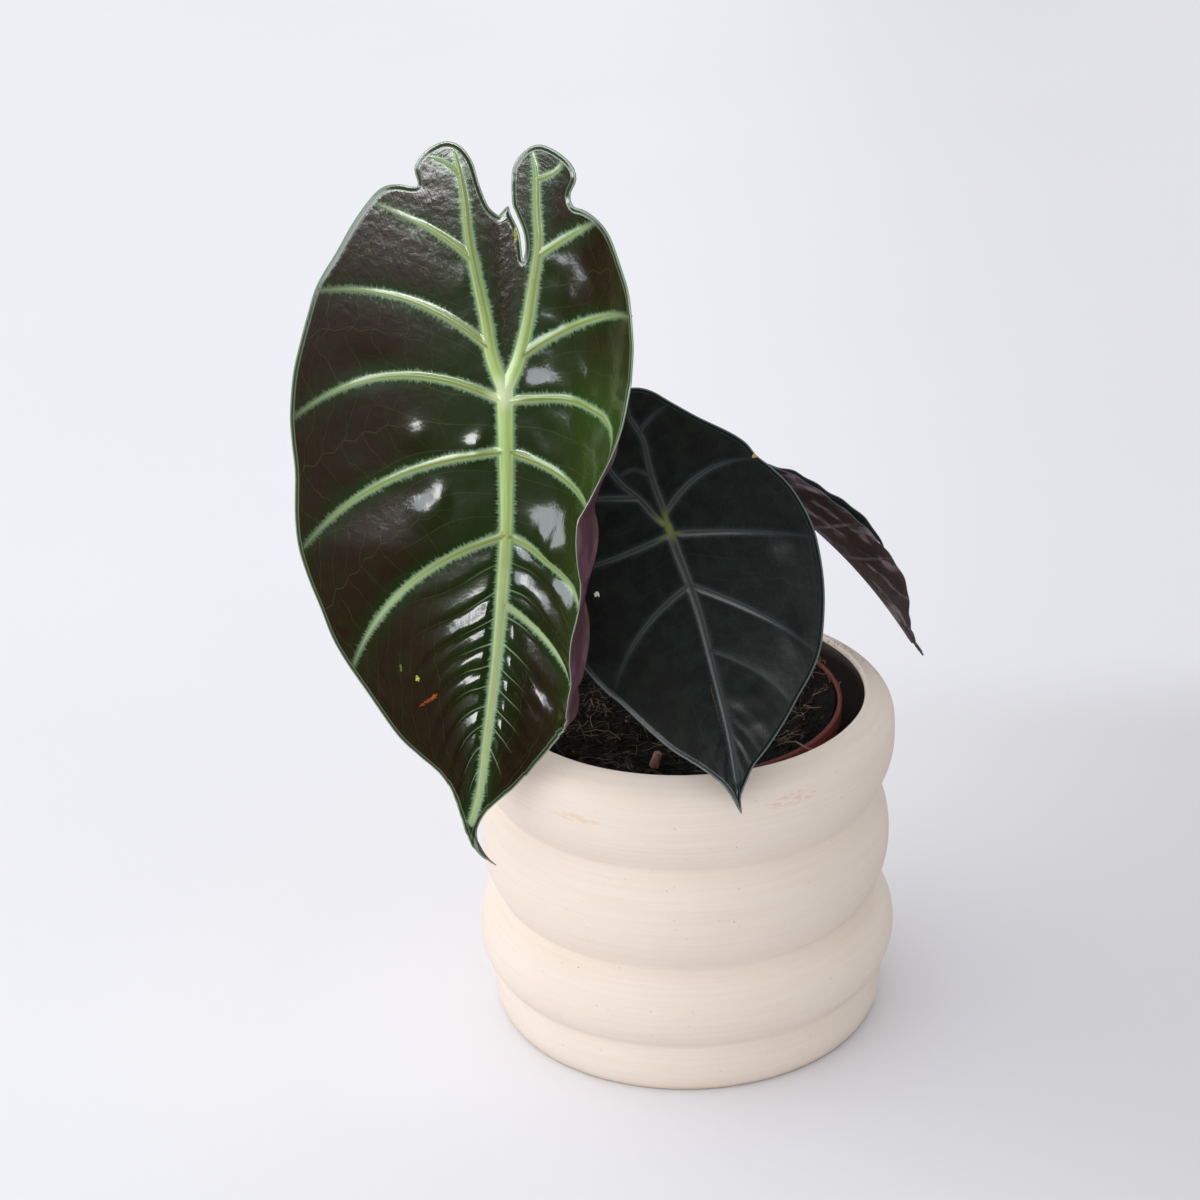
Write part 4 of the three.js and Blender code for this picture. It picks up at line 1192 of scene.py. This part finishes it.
# %% [markdown]
# ## The finish of a leaf's face
# The veins are pale, and next to them the green is bleached in fine spikes. Further out the blade
# is green, then brown-black. Thin lines run between the veins, and a narrow band follows the
# margin. The mesh carries how far each point lies beyond the edge of the nearest vein and how far
# along that vein it is, so the spikes are noise that is quick along the vein and slow across it.

# %% Ground colour of a leaf
NET_STEP = 7.6


def line_at(finish, phase, half_width):
    """1 on thin lines where the phase passes whole numbers."""
    off = finish.math("ABSOLUTE", finish.math("FRACT", phase) - 0.5)
    return finish.rise(off, 0.5 - half_width, 0.5)


def leaf_ground(skin, look, flat, cloud, gap, power):
    """The blade between its veins: dark far out, green by the veins and on the right half."""
    u, v = skin.part(flat, "X"), skin.part(flat, "Y")
    base = skin.mix(cloud, look["dark"], look["dark_too"])
    glow = (1 - skin.rise(gap, 0.0, look["glow"])) * power * 0.8
    inner = (1 - skin.rise(skin.attribute("share"), 0.05, 0.6)) * 0.75
    base = skin.mix(skin.math("MAXIMUM", glow, inner), base, look["green"])
    patches = skin.rise(skin.clouds(flat, 0.15, 4), 0.42, 0.62)
    base = skin.mix(patches * look["patch_share"], base, look["patch"])
    right = skin.rise(u, 6, 44) * (1 - skin.rise(v, -5, 34))
    return skin.mix(right * (0.3 + cloud * 0.7), base, look["right_green"])


def leaf_net(skin, flat):
    """Thin lines: they leave the veins, slant outwards and meet half-way between two veins."""
    from_rib, gap = skin.attribute("from_rib"), skin.attribute("vein_gap")
    bay, share = skin.attribute("bay"), skin.attribute("share")
    warp = (skin.clouds(flat, 0.09, 2) - 0.5) * 0.9
    step = from_rib / NET_STEP
    slanting = line_at(skin, (from_rib - gap * 0.55) / NET_STEP + warp, 0.018)
    zigzag = skin.math("ABSOLUTE", skin.math("FRACT", step) - 0.5) * 0.09 - 0.022
    middle = 1 - skin.rise(skin.math("ABSOLUTE", bay - 0.5 + zigzag + warp * 0.08), 0.0, 0.009)
    level = line_at(skin, skin.attribute("fold"), 0.03) * (1 - skin.rise(share, 0.25, 0.7))
    loops = line_at(skin, skin.attribute("edge") / 2.7 + warp, 0.05)
    loops = loops * (1 - skin.rise(skin.attribute("edge"), 6, 12)) * 0.35
    outer = skin.rise(share, 0.12, 0.3)
    lines = skin.math("MAXIMUM", slanting * outer, middle * outer * 0.8)
    return skin.math("MAXIMUM", skin.math("MAXIMUM", lines, level), loops)


# %% Veins, margin and marks


def vein_colour(skin, look, flat, gap, half, run, low):
    """Deeper along a vein's middle and pale at its edges. Wide veins are pale nearly all over."""
    across = (gap + half) / half
    threads = skin.clouds(skin.pair(run * 0.06, across * 5), 1.0, 2)
    rib = skin.mix(skin.rise(across, 0.25, 1.0), look["core"], look["vein"])
    rib = skin.mix(skin.rise(half, 1.4, 2.1) * 0.75, rib, look["vein"])
    rib = skin.mix(skin.rise(threads, 0.5, 0.62) * 0.3, rib, look["core"])
    rib = skin.mix((1 - skin.rise(half, 0.9, 1.8)) * look["olive_share"], rib, look["core"])
    junction = 1 - skin.rise(skin.length(flat), 1.5, 8)
    # Low on the blade the veins are painted paler: partly their own pale colour, partly a painted
    # reflection of the sky.
    return skin.mix(skin.math("MAXIMUM", junction, low * look["low_share"]), rib, look["junction"])


def leaf_margin(skin, look, base, edge):
    """A thin pale line runs inside the margin, then a darker hem and a pale lip."""
    inner = skin.rise(edge, 1.15, 1.35) * (1 - skin.rise(edge, 1.5, 1.8))
    hem = 1 - skin.rise(edge, 1.1, 1.3)
    base = skin.mix(inner * look["margin_share"], base, look["margin"])
    base = skin.mix(hem, base, look["hem"])
    return skin.mix(1 - skin.rise(edge, 0.35, 0.6), base, look["lip"])


def leaf_marks(skin, look, base, flat):
    """Small scars and scraps: ovals with a ragged edge, some of them slanted."""
    ragged = skin.clouds(flat, 1.3, 3)
    for spot, reach, slant, mark in look["marks"]:
        off = skin.part(flat, "X") - spot[0]
        across = off / reach[0]
        along = (skin.part(flat, "Y") - spot[1] - off * slant) / reach[1]
        away = across * across + along * along + (ragged - 0.5) * 3
        base = skin.mix(1 - skin.rise(away, 0.3, 0.6), base, colour(*mark))
    return base


# %% Both faces of a leaf


def leaf_face(name, look):
    skin = Finish(name)
    flat = skin.chart()
    gap, half = skin.attribute("vein_gap"), skin.attribute("vein_half")
    run, power = skin.attribute("vein_run"), skin.attribute("vein_power")
    edge, from_rib = skin.attribute("edge"), skin.attribute("from_rib")
    low = 1 - skin.rise(skin.part(flat, "Y"), -80, -50)
    cloud = skin.clouds(flat, 0.045, 3)
    fine = skin.clouds(flat, 0.9, 5, 0.6)
    base = leaf_ground(skin, look, flat, cloud, gap, power)
    net = leaf_net(skin, flat) * skin.rise(gap, 0.2, 1.6) * skin.rise(edge, 1.6, 2.6)
    base = skin.mix(net * look["net_share"] * (0.5 + cloud), base, look["net"])
    hairs = skin.clouds(skin.pair(run * 1.5, gap * 0.35), 1.0, 4, 0.65)
    reach = hairs * hairs * hairs * look["spike"] + look["fringe"]
    halo = (1 - skin.rise(gap, -0.1, reach)) * power
    # Low on the blade the halo is painted stronger: partly its own colour, partly a painted
    # reflection of the sky.
    base = skin.mix(halo * (look["halo_share"] + low * 0.2), base, look["halo"])
    fold_line = line_at(skin, skin.attribute("fold"), 0.06) * low * (1 - skin.rise(from_rib, 3, 16))
    base = skin.mix(fold_line * look["fold_share"], base, look["halo"])
    inside = (1 - skin.rise(gap, -look["blur"], look["blur"] * 0.4)) * power
    base = skin.mix(inside, base, vein_colour(skin, look, flat, gap, half, run, low))
    base = leaf_marks(skin, look, leaf_margin(skin, look, base, edge), flat)
    wrinkles = skin.clouds(skin.pair(from_rib * 1.3, gap * 0.3), 1.0, 3)
    relief = fine * 0.05 + wrinkles * 0.14 + skin.clouds(flat, 0.25, 2) * 0.3
    return skin.surface(base_color=base, roughness=look["rough"] + fine * 0.06 + inside * 0.15,
                        specular_ior_level=look["shine"],
                        normal=skin.bump(relief, 0.0006, look["relief"]))


def leaf_back(name, look):
    skin = Finish(name)
    flat = skin.chart()
    gap, power = skin.attribute("vein_gap"), skin.attribute("vein_power")
    cloud = skin.clouds(flat, 0.07, 4)
    fine = skin.clouds(flat, 1.1, 5, 0.65)
    u, v = skin.part(flat, "X"), skin.part(flat, "Y")
    folds = skin.clouds(skin.pair((u - v * 0.3) * 0.15, (v + u * 0.3) * 0.055), 1.0, 3)
    base = skin.mix(cloud, look["back"], look["back_too"])
    # Painted sheen: pale lilac streaks along the underside's folds stand in for the gloss on their
    # ridges.
    base = skin.mix(skin.rise(folds, 0.5, 0.64) * look["back_folds"], base, look["back_pale"])
    ribs = (1 - skin.rise(gap, -0.6, 1.0)) * power
    base = skin.mix(ribs * look["back_rib_share"], base, look["back_rib"])
    return skin.surface(base_color=base, roughness=0.38 + fine * 0.15, specular_ior_level=0.5,
                        normal=skin.bump(fine * 0.3 + folds, 0.0008, 0.6))


# %% [markdown]
# The front leaf is lime, brown and green. The other two are near-black with grey veins and differ
# only in their undersides. Colours are written as a screen shows them, and shares say how strongly
# one covers another.

# %% The looks of the three leaves


def look_of(**values):
    """Turns each screen colour among the values into light, and keeps numbers and lists."""
    return {key: colour(*value) if isinstance(value, tuple) else value
            for key, value in values.items()}


FRONT_LOOK = look_of(
    dark=(43, 28, 15), dark_too=(36, 27, 13), green=(30, 56, 18), right_green=(56, 84, 30),
    patch=(38, 44, 16), patch_share=0.3, glow=7.0, net=(84, 92, 48), net_share=0.34,
    vein=(190, 218, 132), core=(132, 148, 78), junction=(214, 230, 176), blur=0.3,
    olive_share=0.6, low_share=0.45, halo=(170, 203, 158), halo_share=0.64, fold_share=0.6,
    spike=7.5, fringe=0.55, margin=(112, 128, 100), margin_share=0.7, hem=(52, 68, 46),
    lip=(136, 150, 128), rough=0.12, shine=0.5, relief=0.5,
    back=(104, 66, 78), back_too=(84, 54, 66), back_pale=(136, 100, 112), back_folds=0.35,
    back_rib=(140, 110, 96), back_rib_share=0.6,
    marks=[((-29.5, -108.8), (4.2, 0.9), 0.7, (140, 62, 28)),
           ((-27.4, -107), (1.6, 1.1), 0.7, (168, 84, 36)),
           ((-32.6, -100.7), (0.9, 1.4), 0, (196, 200, 92)),
           ((-38, -97), (0.6, 1.8), 0, (98, 116, 48)),
           ((5.2, 51), (0.7, 3.4), 0, (176, 172, 84))])
MIDDLE_LOOK = look_of(
    dark=(33, 32, 30), dark_too=(15, 18, 17), green=(18, 27, 24), right_green=(17, 23, 21),
    patch=(32, 40, 33), patch_share=0.55, glow=4.0, net=(44, 54, 50), net_share=0.34,
    vein=(104, 109, 110), core=(54, 58, 50), junction=(104, 112, 60), blur=0.9,
    olive_share=0, low_share=0, halo=(56, 62, 64), halo_share=0.55, fold_share=0.1,
    spike=6, fringe=0.8, margin=(46, 56, 54), margin_share=0.7, hem=(22, 30, 28),
    lip=(98, 108, 106), rough=0.27, shine=0.17, relief=0.4,
    back=(74, 50, 58), back_too=(58, 42, 48), back_pale=(100, 80, 88), back_folds=0.35,
    back_rib=(110, 92, 88), back_rib_share=0.5,
    marks=[((-28, -17.1), (1.1, 1.4), 0, (226, 224, 196)),
           ((33.4, 16.2), (1.3, 1.1), 0, (186, 158, 96)),
           ((1.9, -57), (0.3, 3.6), 0, (78, 60, 44)),
           ((2.1, -63.5), (0.3, 4.6), 0, (70, 54, 42))])
BACK_LOOK = {**MIDDLE_LOOK, **look_of(
    back=(72, 52, 52), back_too=(54, 40, 41), back_pale=(152, 138, 146), back_folds=0.85,
    back_rib=(120, 106, 108), back_rib_share=0.7)}

# %% The three blades
for label, leaf, look, slot in (
        ("front", FRONT, FRONT_LOOK, "bright_blade"),
        ("middle", MIDDLE, MIDDLE_LOOK, "dark_blade"), ("back", BACK, BACK_LOOK, "dark_blade")):
    finish_piece(f"{label}_blade", leaf_blade(leaf),
                 [leaf_face(f"{label}_leaf_face", look), leaf_back(f"{label}_leaf_back", look)],
                 [f"{label}_leaf_blade", f"{label}_leaf_veins"])

# %% [markdown]
# ## The stalks
# Each stalk comes out of the soil thick and sheathed, thins on its way up and turns over to meet
# the underside of its blade. A tube along a smooth curve is enough. Its skin is olive with
# darker mottling.

# %% Stalks
SOIL_HOLE = 93
FRONT_STALK = ([(-8, 2, 114), (-13, 5, 130), (-27, 4, 155), (-44, -8, 182), (-55, -23, 208),
                (-58.5, -38, 232), (-57, -48, 249), (-55.4, -53, 257.4)], (5, 2.8))
MIDDLE_STALK = ([(5, -4, 114), (5.5, -2.5, 130), (4, -4, 150), (1, -12, 172), (-2.5, -24, 190)],
                (4.4, 2.2))
BACK_STALK = ([(6, 11, 114), (8, 14, 126), (17, 20, 140), (30, 28, 156)], (4, 1.8))
SHEATH = 0.12
STALK_SAMPLES = 90
STALK_ROUNDNESS = 8
FLARE = 0.8
FLARE_SHARE = 0.015


def stalk_run(path, radii, leaf):
    """From its hole in the soil to its blade's underside, thick at the foot and flared on top."""
    under = -leaf["thickness"] / 2 - leaf["under_rib"] * 0.5
    top = bent(leaf, np.zeros((1, 2)), under)[0] / MM
    x, y = path[0][:2]
    knots = [(x, y, SOIL_HOLE), (x, y, SOIL_HOLE + 9), *path, tuple(top)]
    shares = np.linspace(0, 1, STALK_SAMPLES)
    spots = smooth_curve(knots, shares)
    rise = np.maximum(0, shares - SHEATH) / (1 - SHEATH)
    thick = mixed(*radii, np.sqrt(rise))
    flare = FLARE * np.exp(-((1 - shares) / FLARE_SHARE) ** 2)
    return [(*spot, radius) for spot, radius in zip(spots, thick + flare)]


def stalk_skin(name, light, dark):
    skin = Finish(name)
    spot = skin.place()
    mottle = skin.clouds(skin.place((1, 1, 0.45)), 0.5, 5, 0.65)
    streaks = skin.clouds(skin.place((1.6, 1.6, 0.08)), 0.9, 3)
    base = skin.mix(skin.rise(mottle, 0.42, 0.6), light, dark)
    base = skin.mix(streaks * 0.3, base, colour(92, 74, 50))
    low = 1 - skin.rise(skin.part(spot, "Z"), 112, 140)
    base = skin.mix(low * 0.5, base, colour(128, 96, 78))
    return skin.surface(base_color=base, roughness=0.4 + mottle * 0.15,
                        normal=skin.bump(streaks + mottle * 0.4, 0.0003, 0.6))


green_skin = stalk_skin("front_stalk_skin", colour(128, 140, 86), colour(92, 96, 58))
dark_skin = stalk_skin("dark_stalk_skin", colour(98, 92, 70), colour(66, 56, 46))
for label, (path, radii), leaf, skin in (
        ("front", FRONT_STALK, FRONT, green_skin), ("middle", MIDDLE_STALK, MIDDLE, dark_skin),
        ("back", BACK_STALK, BACK, dark_skin)):
    run = stalk_run(path, radii, leaf)
    finish_piece(f"{label}_stalk", wire([run], STALK_ROUNDNESS), [skin],
                 [f"{label}_leaf_stalk"])

# %% [markdown]
# ## The cut stub
# A dry pinkish stub of an old leaf leans in the soil in front of the stalks.

# %% Stub
STUB_SPOT = (-10.5, -35)
STUB_LEAN = 0.3
STUB_ROUNDNESS = 5


def stub_run():
    levels = [(93, 1.9), (111, 1.8), (113, 1.6), (115, 1.45), (116.2, 1.4), (116.5, 1.0)]
    return [(STUB_SPOT[0] + max(0, z - SOIL_TOP) * STUB_LEAN, STUB_SPOT[1], z, radius)
            for z, radius in levels]


def stub_finish():
    dry = Finish("dry_stub")
    streaks = dry.clouds(dry.place((1.5, 1.5, 0.15)), 1.0, 4)
    base = dry.mix(dry.rise(streaks, 0.35, 0.65), colour(178, 132, 116), colour(128, 88, 74))
    return dry.surface(base_color=base, roughness=0.65 + streaks * 0.2,
                       normal=dry.bump(streaks, 0.0004, 0.8))


finish_piece("old_stub", wire([stub_run()], STUB_ROUNDNESS), [stub_finish()],
             ["cut_stub"])

# %% [markdown]
# ## Floor and light
# The plant stands on a pale floor. It is painted darker towards the right, and less so further back:
# that is painted shade where the light falls off. In the gloss of a leaf the floor is painted
# near-black, a painted dark reflection. A large soft light on the left and above gives the soft
# shadow to the right, and the pale surroundings fill the rest. Two windows, in front and on the
# left, light nothing themselves: they only show as reflections on the glossy leaf.

# %% Floor and light
FLOOR_REACH = 6


def floor_with_painted_shade():
    paint = Finish("floor")
    spot = paint.place()
    cloud = paint.clouds(spot, 0.004, 3)
    base = paint.mix(cloud, colour(238, 238, 241), colour(234, 234, 238))
    # Painted shade: the floor is painted darker towards the right, less so far back, where the light
    # falls off.
    right = paint.rise(paint.part(spot, "X"), -60, 260)
    far = paint.rise(paint.part(spot, "Y"), 190, 280)
    base = paint.mix(right * (0.62 - far * 0.34), base, colour(188, 187, 190))
    # Painted dark reflection: seen in the gloss of a leaf, the floor is painted near-black.
    mirrored = paint.node("ShaderNodeLightPath", {}, {}, 3)
    base = paint.mix(mirrored, base, colour(42, 40, 36))
    return paint.surface(base_color=base, roughness=0.75, specular_ior_level=0.1)


floor_bm = bmesh.new()
bmesh.ops.create_grid(floor_bm, x_segments=2, y_segments=2, size=FLOOR_REACH)
floor = bpy.data.objects.new("floor", mesh_of(floor_bm))
floor.data.materials.append(floor_with_painted_shade())
show(floor)


def soft_light(name, spot, target, size, power, tint=(1, 1, 1), lights=True, mirrored=True):
    data = bpy.data.lights.new(name, "AREA")
    data.shape = "RECTANGLE"
    data.size, data.size_y = size
    data.energy = power
    data.color = tint
    light = bpy.data.objects.new(name, data)
    light.location = spot
    light.rotation_euler = (Vector(target) - Vector(spot)).to_track_quat("-Z", "Y").to_euler()
    light.visible_diffuse = lights
    light.visible_glossy = mirrored
    show(light)


soft_light("key_light", (-2.2, -0.6, 1.8), (0, 0, 0.1), (2.6, 2.2), 6, mirrored=False)
soft_light("front_window", (-0.6, -2.0, 0.37), (-0.6, 0, 0.37), (0.95, 0.44), 25, lights=False)
soft_light("side_window", (-1.75, -1.4, 0.6), (-0.05, 0, 0.2), (2.0, 1.0), 50, (0.86, 0.92, 1),
           lights=False)


def surroundings():
    """Pale where the camera looks, softer as a light, and dim in the gloss of a leaf."""
    studio = bpy.data.worlds.new("studio")
    bpy.context.scene.world = studio
    air = Finish("studio", studio)
    seen = air.node("ShaderNodeLightPath", {}, {}, 0)
    mirrored = air.node("ShaderNodeLightPath", {}, {}, 3)
    side = air.part(air.node("ShaderNodeTexCoord", {}, {}), "X")
    strength = seen * 0.9 + mirrored * 0.035 + (1 - seen) * (1 - mirrored) * (1.06 - side * 0.56)
    glow = air.node("ShaderNodeBackground", {},
                    {"Color": (0.96, 0.966, 0.985, 1), "Strength": strength})
    air.node("ShaderNodeOutputWorld", {}, {"Surface": glow})


surroundings()
bpy.context.scene.view_settings.view_transform = "Standard"
